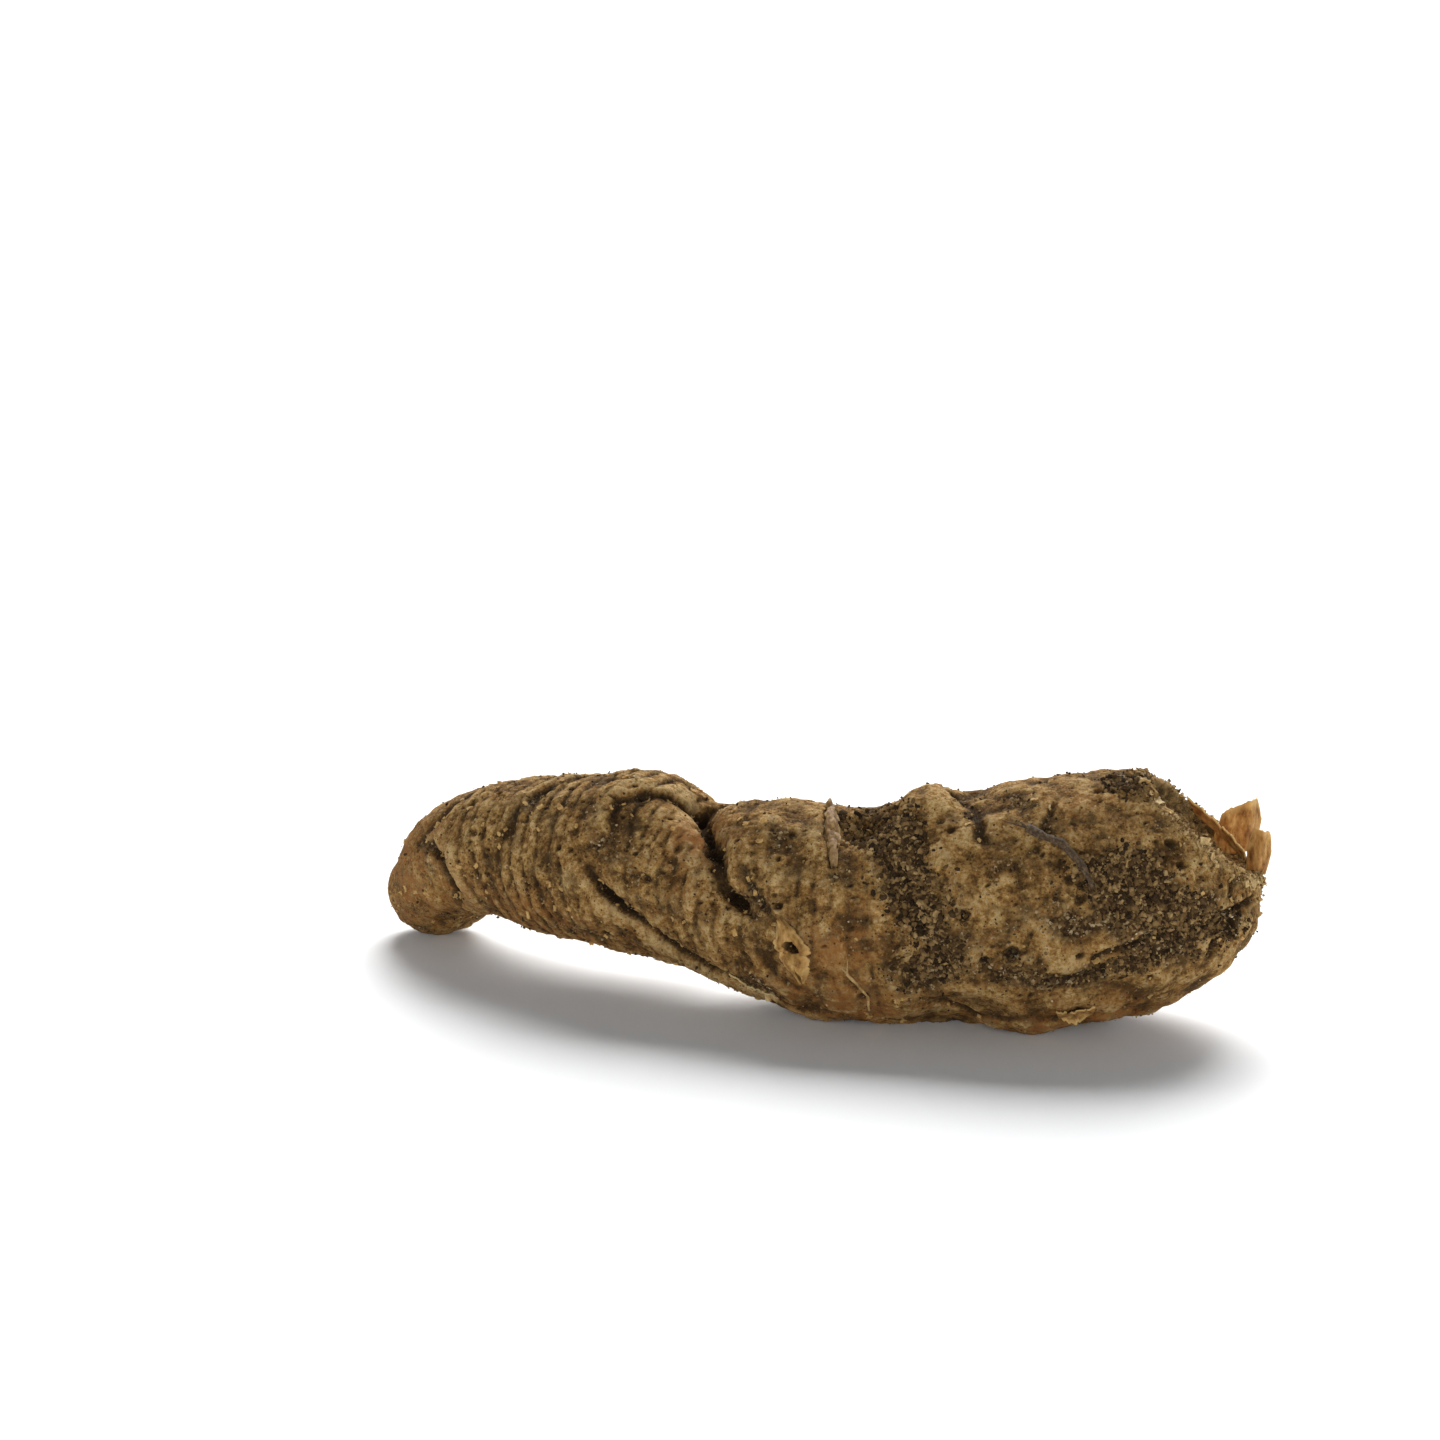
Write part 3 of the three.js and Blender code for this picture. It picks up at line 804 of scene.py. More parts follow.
@dataclass
class RhizomeBody:
    """The rhizome itself: one grown skin from the knob to the stem scar."""

    rows: int = 334
    sides: int = 296
    field: Field = Field(11)
    # Dark soil patches; the one low on the front of the thin end, at 22 mm and −18°, also stands for painted shade of
    # the lower side.
    soil: tuple[Patch, ...] = (
        Patch(93.4, 12, 5.6, 19, 1.25), Patch(88.5, 27, 4.0, 11, 0.75), Patch(90.5, 6, 5.0, 9, 0.7),
        Patch(93.0, 79, 2.6, 13, 1.1), Patch(95.6, -14, 4.5, 10, 0.9), Patch(101.5, -8, 3.0, 10, 0.8),
        Patch(75.5, -14, 4.5, 12, 0.7), Patch(85, -22, 6.0, 8, 0.6), Patch(79.5, 33, 2.4, 8, 0.6),
        Patch(64.5, 30, 3.0, 12, 0.55), Patch(48.3, 62, 3.0, 26, 0.7), Patch(56, 48, 3.0, 20, 0.4),
        Patch(57.5, 12, 2.0, 14, 0.55), Patch(56.2, -46, 3.4, 7, 1.0), Patch(22, -18, 6.0, 14, 0.55),
        Patch(14, 34, 2.0, 22, 0.6), Patch(27.6, 60, 2.4, 15, 0.6), Patch(45, -4, 4.0, 8, 0.55),
        Patch(75, 180, 6.0, 30, 0.9), Patch(47, 200, 4.0, 40, 0.9), Patch(96, 190, 6.0, 30, 0.7),
        Patch(70, -100, 16.0, 25, 0.5), Patch(20, 150, 8.0, 20, 0.5))
    # Pale patches: the knob's and the back's own paler colour, and painted highlights on the lit tops of the nodules
    # and the thin end.
    pale: tuple[Patch, ...] = (
        Patch(89.7, 62, 3.6, 11, 1.0), Patch(81.8, 52, 4.0, 12, 1.0), Patch(79.8, 2, 3.0, 10, 0.9),
        Patch(86.8, 72, 3.6, 9, 0.9), Patch(83.5, -20, 3.6, 9, 0.7), Patch(98.5, -38, 5.5, 13, 0.9),
        Patch(62.6, 42, 2.6, 16, 0.8), Patch(72.0, 92, 2.6, 10, 1.2), Patch(80, -40, 5, 12, 0.6),
        Patch(10, -5, 4.5, 45, 0.5), Patch(24, 75, 6, 20, 0.7), Patch(33, 24, 5.0, 22, 0.7),
        Patch(36, 100, 5.0, 25, 0.7), Patch(42.8, 20, 2.6, 20, 0.5), Patch(52, -45, 7, 10, 0.6),
        Patch(99.5, 30, 3.0, 14, 0.8), Patch(60, 170, 6, 40, 0.7), Patch(30, 160, 9, 30, 0.7),
        Patch(85, 150, 6, 22, 0.7))
    warm: tuple[Patch, ...] = (
        Patch(63.5, -45, 6.5, 20, 1.1), Patch(82, -62, 5.0, 18, 1.0), Patch(48.5, 48, 3.0, 30, 0.8),
        Patch(65, 0, 3.5, 18, 0.7), Patch(89, 66, 3.0, 10, 0.6), Patch(9, 0, 6.0, 50, 0.9),
        Patch(91, -60, 7.0, 20, 0.7), Patch(28, -40, 12.0, 20, 0.8), Patch(70, 180, 20.0, 30, 0.5))
    cracks: tuple[Furrow, ...] = (
        Furrow(FISSURE, 2.0, 0.5, 0.25),
        Furrow(((46, 100), (44.5, 85), (41, 70), (39.1, 55), (39.4, 42)), 0.9, 0.45, 0.25),
        Furrow(((30.4, 84), (29.3, 73), (26.2, 42), (25.6, 28)), 0.6, 0.7, 0.15),
        Furrow(((16.4, 80), (14.9, 50), (12.8, 25)), 0.7, 0.7, -0.15),
        Furrow(((14.6, 16), (16.0, 6), (16.9, -16), (16.4, -40)), 1.3, 0.6, -0.3),
        Furrow(((38.0, 8), (39.8, -2), (43.9, -21), (48.8, -43), (54, -50), (60.4, -56)), 1.1, 0.45, 0.35),
        Furrow(((54.8, 34), (56.6, 20), (59.3, 6)), 0.4, 0.4, 0.1),
        Furrow(((57.4, -14), (59.4, -26), (62.2, -36)), 0.4, 0.4, 0.1),
        Furrow(((60.9, 88), (61.3, 78), (62.5, 58), (63.7, 40)), 0.6, 0.25, 0.15),
        Furrow(((104.6, 9), (102.8, 4), (100.4, 1), (97.2, -3), (93.2, -8), (88.4, -15)), 0.9, 0.35, 0.15),
        Furrow(((103.4, 0), (101.2, -8), (100.3, -17), (100.2, -27)), 0.8, 0.35, -0.15),
        Furrow(((97.6, -9), (95.7, -15), (93.4, -18), (89.0, -21), (83.5, -24)), 0.7, 0.4, 0.1),
        Furrow(((103.6, 30), (101.8, 22), (101.9, 14), (103.0, 6)), 0.4, 0.25, 0.12),
        Furrow(((66.0, 76), (67.2, 62), (69.2, 44), (69.8, 28), (71.6, 8)), 0.6, 0.5, 0.1),
        Furrow(((75.4, 92), (76.6, 78), (77.8, 64), (78.0, 50)), 0.6, 0.6, 0.15),
        Furrow(((85.2, 64), (84.0, 50), (83.2, 40)), 0.35, 0.35, 0.08),
        Furrow(((74.4, -50), (77.2, -58), (81.5, -48), (86.5, -52)), 0.5, 0.45, 0.2),
        Furrow(((44, 130), (47, 165), (49, 200), (48, 235)), 1.4, 0.6, 0.3),
        Furrow(((70, 120), (72, 165), (74, 205), (72, 240)), 1.2, 0.7, -0.3),
        Furrow(((28, 120), (26, 160), (27, 200)), 0.8, 0.6, 0.2),
        Furrow(((90, 110), (92, 150), (90, 190)), 0.8, 0.6, 0.2))
    scars: tuple[RootScar, ...] = (
        RootScar(76.1, 11, 0.75, 0.9, 0.22), RootScar(80.5, -9, 0.95, 0.55, 0.3),
        RootScar(78.0, -12, 0.6, 0.6, 0.1), RootScar(66.7, -32, 0.7, 0.5, 0.12),
        RootScar(72.6, -6, 0.5, 0.6, 0.1), RootScar(74.6, -15, 0.55, 0.5, 0.12),
        RootScar(54.2, 25, 0.55, -0.35, 0.0), RootScar(63.0, 22, 0.8, -0.25, 0.0),
        RootScar(82.1, -11, 0.8, -0.3, 0.0), RootScar(90.5, 23, 0.4, -0.35, 0.0),
        RootScar(60.8, -4, 1.0, 0.8, 0.1), RootScar(98.6, 24, 0.9, 0.2, 0.1))

    def __post_init__(self) -> None:
        """Works out the grid of places and everything that the other pieces read off the skin."""
        fine = np.linspace(0, LENGTH, 4001)
        half = Sections.at(fine).half_width
        travelled = np.concatenate([[0], np.cumsum(np.hypot(np.diff(fine), np.diff(half)))])
        goals = np.linspace(0, travelled[-1], self.rows + 2)[1:-1]
        rows = np.interp(goals, travelled, fine)
        sides = np.arange(self.sides) * 360 / self.sides
        self.along, self.around = np.meshgrid(rows, sides, indexing="ij")
        smooth = skin_point(self.along, self.around)
        self.normal = self._normals(smooth)
        self.tones = {}
        self.points = smooth + self.normal * self._relief(smooth)[..., None]
        self.points[..., 2] = np.maximum(self.points[..., 2], 0.0)
        self.normal = self._normals(self.points)

    def _normals(self, points: np.ndarray) -> np.ndarray:
        """Outward normals of the closed grid."""
        across = np.roll(points, -1, axis=1) - np.roll(points, 1, axis=1)
        normal = np.cross(np.gradient(points, axis=0), across)
        normal /= np.maximum(np.linalg.norm(normal, axis=-1, keepdims=True), 1e-9)
        outward = points - (Sections.at(self.along).centre + CENTRING)
        turned = np.sign((normal * outward).sum(axis=-1).mean())
        return normal * turned

    def patches(self, patches: tuple[Patch, ...], along: np.ndarray, around: np.ndarray) -> np.ndarray:
        """Strength of a set of patches at each place."""
        total = np.zeros(along.shape)
        for patch in patches:
            far = ((along - patch.along) / patch.reach) ** 2
            far = far + (turn_between(around, patch.around) / patch.sweep) ** 2
            total += patch.strength * np.exp(-far)
        return total

    def _rings(self, points: np.ndarray, along: np.ndarray, calm: np.ndarray) -> tuple[np.ndarray, np.ndarray]:
        """Crowded growth rings: height in mm, and how deep in a groove each place is."""
        wander = 1.0 * self.field.value(points, 10.0, 3) + 0.4 * self.field.value(points, 3.0, 4)
        place = along + wander + 1.1 * np.sin(np.radians(self.around - 20))
        steps = np.linspace(-5, LENGTH + 5, 2300)
        spacing = np.interp(steps, [0, 20, 40, 50, 62, 75, LENGTH], [1.5, 2.1, 1.7, 1.3, 1.6, 2.2, 2.4])
        turns = np.cumsum(1 / spacing) * (steps[1] - steps[0])
        count = np.interp(place, steps, turns)
        part = count - np.floor(count)
        label = np.stack([np.floor(count)] * 3, axis=-1)
        vigour = 0.35 + 1.1 * Field(5)._hash(label.astype(np.int64), 1)
        vigour = vigour * (0.55 + 0.75 * smooth_step(self.field.value(points, 6.0, 9), -0.5, 0.5))
        shape = np.sin(np.pi * part) ** 0.6 - 0.65 + 0.35 * smooth_step(part, 0.55, 0.9) * (part < 0.97)
        front = np.interp(along, [0, 14, 22, 42, 50, 60, 66, 76, LENGTH],
                          [0.03, 0.10, 0.30, 0.34, 0.26, 0.20, 0.10, 0.06, 0.05])
        behind = smooth_step(-np.cos(np.radians(self.around)), 0.1, 0.8)
        height = np.maximum(front, 0.28 * behind) * calm
        groove = np.exp(-(np.minimum(part, 1 - part) / 0.1) ** 2) * height / 0.34 * vigour
        return height * vigour * shape, groove

    def _scar_pits(self, along: np.ndarray, around: np.ndarray, radius: np.ndarray,
                   calm: np.ndarray) -> tuple[np.ndarray, np.ndarray]:
        """Root scars, named and scattered: height in mm and hollowness."""
        random = np.random.default_rng(23)
        scattered = [RootScar(random.uniform(8, 103), random.uniform(-180, 180), random.uniform(0.3, 0.75),
                              random.uniform(0.15, 0.55), random.uniform(0.03, 0.2)) for _ in range(150)]
        height = np.zeros(along.shape)
        hollow = np.zeros(along.shape)
        for scar in (*self.scars, *scattered):
            near = np.abs(along - scar.along) < 3 * scar.radius
            dx = along[near] - scar.along
            dy = turn_between(around[near], scar.around) * radius[near] * math.pi / 180
            far = np.hypot(dx, dy) / scar.radius
            dip = np.exp(-((far / 0.75) ** 4))
            height[near] += -scar.depth * dip + scar.rim * np.exp(-(((far - 1.05) / 0.25) ** 2))
            hollow[near] += max(scar.depth, 0.0) / 0.6 * np.exp(-((far / 0.6) ** 4))
        return height * calm, hollow * calm

    def _relief(self, smooth: np.ndarray) -> np.ndarray:
        """Height of the fine skin over the smooth form in mm; fills the tones on the way."""
        field_, along, around = self.field, self.along, self.around
        sections = Sections.at(along)
        radius = np.maximum((sections.half_width + sections.half_height) / 2, 0.5)
        cut = depth_of_cut(along, around)
        on_scar = smooth_step(cut, 0.1, 0.5)
        bark = 1 - on_scar
        rim = np.exp(-(((cut + 0.22) / 0.46) ** 2))
        wobble = field_.fractal(smooth, 1.8, 3, 0.6)
        lost = field_.value(smooth + 31.0, 2.4)
        warped_along = along + 0.45 * wobble
        warped_around = around + 2.4 * lost

        blot = 0.5 * field_.fractal(smooth, 4.6, 6, 0.68)
        soil = self.patches(self.soil, warped_along, warped_around)
        valley, _ = path_distance(along, around, radius, VALLEY)
        soil = soil + 1.15 * np.exp(-((valley / 2.9) ** 2))
        soil = smooth_step(soil + 2.9 * blot, 0.16, 1.2) * bark
        knob = self.patches((Patch(7, 0, 8.0, 75, 1.0),), along, around)
        calm = 1 - 0.75 * np.clip(knob, 0, 1)

        rings, grooves = self._rings(smooth, along, bark * calm * (1 - 0.7 * soil))
        relief = rings
        lumps = 0.42 * field_.fractal(smooth + 9.0, 7.0, 2) + 0.46 * field_.fractal(smooth + 70.0, 3.0, 3)
        relief = relief + lumps * (0.4 + 0.6 * calm)
        turn = np.radians(around)
        drawn = np.stack([along * 0.28, radius * np.cos(turn), radius * np.sin(turn)], axis=-1)
        wrinkle = field_.ridged(drawn, 1.7, 2)
        relief = relief - 0.13 * (1 - smooth_step(wrinkle, 0.0, 0.32)) * calm * bark
        crumb = field_.fractal(smooth, 1.25, 4, 0.68)
        relief = relief + 0.30 * crumb * (0.6 + 0.8 * soil) * calm
        far, name = field_.cells(smooth, 0.9)
        relief = relief + 0.22 * soil * (0.45 - far) + 0.07 * bark * (0.4 - far) * (name - 0.3)
        pock = smooth_step(0.34 - far, 0.0, 0.22) * (name > 0.86) * bark * calm
        relief = relief - 0.42 * pock

        # How deep in a hollow each place is; the bark paints it dark as shade.
        hollow = 0.55 * grooves + 0.8 * pock
        for crack in self.cracks:
            distance, signed = path_distance(warped_along, warped_around, radius, crack.path)
            shape = np.exp(-((distance / crack.width) ** 2)) * (0.8 + 0.5 * lost)
            relief = relief - crack.depth * shape * bark
            lap = np.tanh(signed / 0.7) * np.exp(-((distance / 2.6) ** 2))
            relief = relief + crack.step * lap * bark
            hollow = hollow + 0.95 * min(crack.depth, 1.2) * shape * bark
        pits, holes = self._scar_pits(along, around, radius, bark * calm)
        relief = relief + pits
        hollow = hollow + 0.9 * holes

        grain = np.stack([smooth[..., 0] * 0.35, smooth[..., 1], smooth[..., 2] * 0.35], axis=-1)
        fibre = field_.ridged(grain, 0.9, 3)
        relief = relief + on_scar * (0.85 * (fibre - 0.35) + 0.25 * crumb)
        relief = relief + rim * (0.22 + 0.4 * field_.fractal(smooth, 1.0, 3, 0.7))
        socket = np.linalg.norm(smooth - CENTRING - np.array([44.8, 4.6, 21.6]), axis=-1)
        relief = relief - 1.2 * on_scar * np.exp(-((socket / 1.3) ** 2))
        gap = smooth - CENTRING - np.array([43.6, 4.5, 21.7])
        run = np.clip(gap @ STRIP_RUN, 0, 7.0)
        gap = np.linalg.norm(gap - run[..., None] * STRIP_RUN, axis=-1)
        relief = relief - 0.7 * on_scar * np.exp(-((gap / 0.7) ** 2))
        # Painted shade in the slot under the scale strip, in the socket and between the scar's fibres.
        hollow = hollow + on_scar * 1.2 * np.exp(-((gap / 0.75) ** 2))
        hollow = hollow + on_scar * (0.9 * np.exp(-((socket / 1.1) ** 2)) + 0.6 * (fibre < 0.12))

        self.tones = {
            Tone.SOIL: soil * (1 - rim),
            # Pale patches and ring crests: own colour in part, painted highlight in part.
            Tone.PALE_AND_HIGHLIGHT: np.clip(self.patches(self.pale, warped_along, warped_around)
                               + 0.9 * np.clip(rings / 0.3, 0, 1), 0, 1) * bark,
            Tone.WARM: np.clip(self.patches(self.warm, warped_along, warped_around) + 0.2, 0, 1) * bark,
            Tone.HOLLOW_PAINTED_SHADE: np.clip(hollow, 0, 0.93),
            Tone.FACE: on_scar,
            Tone.RIM: np.clip(rim, 0, 1),
        }
        # Raised fine relief, which the bark paints lighter as highlight.
        detail = relief - smoothed(smoothed(relief, 7), 5)
        self.tones[Tone.RAISED_HIGHLIGHT_AND_BARE] = np.clip(0.5 + detail / 0.55, 0, 1)
        near_pole = smooth_step(sections.rounding, 0.0, 0.25)
        return relief * near_pole

    def build(self, finish: bpy.types.Material) -> bpy.types.Object:
        """Builds and dresses the body.

        Args:
            finish: The bark material.

        Returns:
            The body's object.
        """
        count = self.rows * self.sides
        quads = grid_faces(self.rows, self.sides, closed=True)
        side = np.arange(self.sides)
        after = (side + 1) % self.sides
        last = (self.rows - 1) * self.sides
        faces = np.concatenate([
            quads[:, [0, 1, 2]], quads[:, [0, 2, 3]],
            np.stack([np.full(self.sides, count), after, side], axis=-1),
            np.stack([np.full(self.sides, count + 1), last + side, last + after], axis=-1)])
        ends = np.stack([self.points[0].mean(axis=0), self.points[-1].mean(axis=0)])
        points = np.concatenate([self.points.reshape(-1, 3), ends])
        tones = {tone.value: np.append(values.ravel(), [values[0].mean(), values[-1].mean()])
                 for tone, values in self.tones.items()}
        corner = points[faces]
        volume = np.einsum("ij,ij->i", corner[:, 0], np.cross(corner[:, 1], corner[:, 2])).sum()
        body = make_mesh("rhizome_bark", points, faces if volume > 0 else faces[:, ::-1], tones)
        body.data.materials.append(finish)
        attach(body, "root")
        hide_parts("rhizome_body")
        return body

    def surface(self, along: np.ndarray, around: np.ndarray, lift: np.ndarray | float) -> np.ndarray:
        """Places over the fine skin, taken from the nearest point of its grid.

        Args:
            along: Distances along the axis in mm.
            around: Turns in degrees.
            lift: Height over the skin in mm.

        Returns:
            Points in mm.
        """
        row = np.interp(along, self.along[:, 0], np.arange(self.rows))
        column = (around % 360) / 360 * self.sides
        r0 = np.clip(np.floor(row).astype(int), 0, self.rows - 2)
        c0 = np.floor(column).astype(int)
        fr, fc = (row - r0)[..., None], (column - c0)[..., None]
        total = 0.0
        for dr, wr in ((0, 1 - fr), (1, fr)):
            for dc, wc in ((0, 1 - fc), (1, fc)):
                total = total + wr * wc * self.points[r0 + dr, (c0 + dc) % self.sides]
        base = skin_point(along, around, 0.0)
        out = skin_point(along, around, 1.0) - base
        out /= np.maximum(np.linalg.norm(out, axis=-1, keepdims=True), 1e-6)
        return total + out * np.asarray(lift, float)[..., None]


# ------------------------------------------------------------------ soil and sand

GOLDEN = (1 + math.sqrt(5)) / 2


def grain_shape() -> tuple[np.ndarray, np.ndarray]:
    """Twenty-sided grain of radius one."""
    corners = []
    for a in (-1, 1):
        for b in (-GOLDEN, GOLDEN):
            corners += [(0, a, b), (a, b, 0), (b, 0, a)]
    points = np.array(corners) / math.hypot(1, GOLDEN)
    gap = 2 / math.hypot(1, GOLDEN) * 1.01
    near = np.linalg.norm(points[:, None] - points[None], axis=-1) < gap
    faces = [(i, j, k) for i in range(12) for j in range(i + 1, 12) for k in range(j + 1, 12)
             if near[i, j] and near[j, k] and near[i, k]]
    turned = [(i, j, k) if np.dot(np.cross(points[j] - points[i], points[k] - points[i]), points[i]) > 0
              else (i, k, j) for i, j, k in faces]
    return points, np.array(turned)


@dataclass
class Grains:
    """Many small grains stuck to the skin, as one piece."""

    name: str
    node: str | None
    slot: str
    count: int
    small: float
    large: float
    seed: int
    flat: float = 0.75
    tones: tuple[float, float] = (0.0, 1.0)
    sink: float = 0.25

    def build(self, body: RhizomeBody, weight: np.ndarray, finish: bpy.types.Material) -> bpy.types.Object:
        """Scatters the grains over the skin.

        Args:
            body: The rhizome's body.
            weight: How likely a grain is at each point of the body's grid.
            finish: The grains' material.

        Returns:
            The piece.
        """
        random = np.random.default_rng(self.seed)
        across = np.linalg.norm(np.roll(body.points, -1, axis=1) - body.points, axis=-1)
        chance = (np.clip(weight, 0, None) * across).ravel()
        spots = random.choice(chance.size, self.count, p=chance / chance.sum())
        points, faces = grain_shape()
        size = self.small * (self.large / self.small) ** (random.random(self.count) ** 2.2)
        turn = random.normal(size=(self.count, 3, 3))
        basis, _ = np.linalg.qr(turn)
        stretch = np.stack([np.ones(self.count), random.uniform(0.6, 1.1, self.count),
                            random.uniform(0.45, 1.0, self.count) * self.flat], axis=-1)
        shaped = points[None] * random.uniform(0.78, 1.22, (self.count, 12, 1)) * stretch[:, None]
        shaped = np.einsum("nij,nkj->nki", basis, shaped) * size[:, None, None]
        normal = body.normal.reshape(-1, 3)[spots]
        shift = random.uniform(-0.14, 0.14, (self.count, 3))
        centre = body.points.reshape(-1, 3)[spots] + shift + normal * (size * (0.5 - self.sink))[:, None]
        centre[:, 2] = np.maximum(centre[:, 2], size * 1.25)
        every = (centre[:, None] + shaped).reshape(-1, 3)
        handed = np.linalg.det(basis) < 0
        corner = np.where(handed[:, None, None], faces[None, :, ::-1], faces[None])
        every_face = (corner + (np.arange(self.count) * 12)[:, None, None]).reshape(-1, 3)
        shade = random.uniform(*self.tones, self.count)
        piece = make_mesh(self.name, every, every_face, {Tone.GRAIN.value: np.repeat(shade, 12)}, False)
        piece.data.materials.append(finish)
        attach(piece, "root")
        if self.node:
            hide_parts(self.node)
        return piece


# ------------------------------------------------------------------ papery pieces

def add_piece(piece: bpy.types.Object, finish: bpy.types.Material,
              node: str | None = None) -> bpy.types.Object:
    """Dresses a piece and joins it to the model.

    Args:
        piece: The piece.
        finish: Its material.
        node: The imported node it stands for, if any.

    Returns:
        The same piece.
    """
    piece.data.materials.append(finish)
    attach(piece, "root")
    if node:
        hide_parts(node)
    return piece


def along_path(path: np.ndarray, share: np.ndarray) -> np.ndarray:
    """Places at shares of the length of a path of rows of numbers."""
    run = np.concatenate([[0], np.cumsum(np.linalg.norm(np.diff(path, axis=0), axis=1))])
    return np.stack([np.interp(share, run / run[-1], path[:, k]) for k in range(path.shape[1])], axis=-1)


@dataclass
class StandingScale:
    """Dry bud scale that stands on the body: a cupped, lobed and crumpled sheet."""

    name: str
    node: str
    base: tuple[float, float, float]
    grow: tuple[float, float, float]
    side: tuple[float, float, float]
    height: float
    width: float
    cup: float
    bend: float
    lobes: float
    peak: float
    seed: int
    thickness: float = 0.16

    def build(self, finish: bpy.types.Material) -> bpy.types.Object:
        """Builds and dresses the scale."""
        grow = np.array(self.grow) / np.linalg.norm(self.grow)
        side = np.array(self.side) / np.linalg.norm(self.side)
        facing = np.cross(side, grow)
        facing /= np.linalg.norm(facing)
        field_ = Field(self.seed)
        v, u = np.meshgrid(np.linspace(0, 1, 60), np.linspace(-1, 1, 56), indexing="ij")
        edge = np.stack([u * 1.7, np.zeros(u.shape), np.zeros(u.shape)], axis=-1)
        top = 1 - self.lobes * np.abs(u - self.peak) ** 1.3 - 0.35 * smooth_step(np.abs(u), 0.7, 1.0)
        top = top + 0.05 * field_.value(edge, 0.5) + 0.025 * field_.value(edge, 0.16, 2)
        rise = v * top
        flare = 0.82 + 0.26 * np.sin(np.clip(rise, 0, 1) * 2.4)
        flat = np.stack([u * self.width / 2, rise * self.height, np.zeros(u.shape)], axis=-1)
        streaks = field_.ridged(flat * np.array([1.0, 0.16, 1.0]), 0.55, 2)
        out = self.cup * u**2 + self.bend * rise**2 + 0.45 * field_.fractal(flat, 2.2, 3) * rise
        out = out + 0.16 * (streaks - 0.3) + 0.1 * field_.fractal(flat, 0.7, 3)
        out = out - self.cup * 0.9 * np.exp(-(((u - self.peak) / 0.3) ** 2)) * rise
        points = (np.array(self.base) + CENTRING + grow * (rise * self.height)[..., None]
                  + side * (u * flare * self.width / 2)[..., None] + facing * out[..., None])
        mid = flat[:-1, :-1]
        tear = field_.value(mid * np.array([1.0, 0.3, 1.0]), 0.8, 7) + 0.9 * v[:-1, :-1]
        keep = ~((tear > 1.5) & (np.abs(u[:-1, :-1]) < 0.9))
        tones = {Tone.EDGE.value: np.clip(smooth_step(v, 0.8, 1.0) + smooth_step(np.abs(u), 0.88, 1.0), 0, 1)}
        sheet = sheet_mesh(self.name, points, self.thickness, keep, tones)
        return add_piece(sheet, finish, self.node)


@dataclass
class ScaleStrip:
    """Broken strip of scale that stands along a line and leans outwards."""

    name: str
    node: str
    foot: tuple[tuple[float, float, float], ...]
    top: tuple[tuple[float, float, float], ...]
    lean: tuple[float, float, float]
    seed: int
    slot: str = "pale_scale"

    def build(self, finish: bpy.types.Material) -> bpy.types.Object:
        """Builds and dresses the strip."""
        field_ = Field(self.seed)
        share, v = np.linspace(0, 1, 90), np.linspace(0, 1, 26)
        foot, top = along_path(np.array(self.foot), share), along_path(np.array(self.top), share)
        flat = np.stack(np.meshgrid(share * 8, v * 2, [0.0], indexing="ij"), axis=-1)[:, :, 0]
        jag = 1 + 0.35 * field_.value(flat * [1, 0, 1], 0.9) + 0.2 * field_.value(flat * [1, 0, 1], 0.3, 2)
        rise = v[None, :] * jag
        points = foot[:, None] + (top - foot)[:, None] * rise[..., None]
        points = points + np.array(self.lean) * (rise**1.5 * 6.0)[..., None]
        wave = 0.28 * field_.fractal(flat, 1.4, 3) + 0.12 * field_.ridged(flat * [1, 0.2, 1], 0.4, 2)
        points = points + CENTRING + np.array([0.1, -0.7, 0.5]) * wave[..., None]
        tones = {Tone.EDGE.value: smooth_step(np.broadcast_to(v[None, :], wave.shape), 0.7, 1.0)}
        return add_piece(sheet_mesh(self.name, points, 0.2, None, tones), finish, self.node)


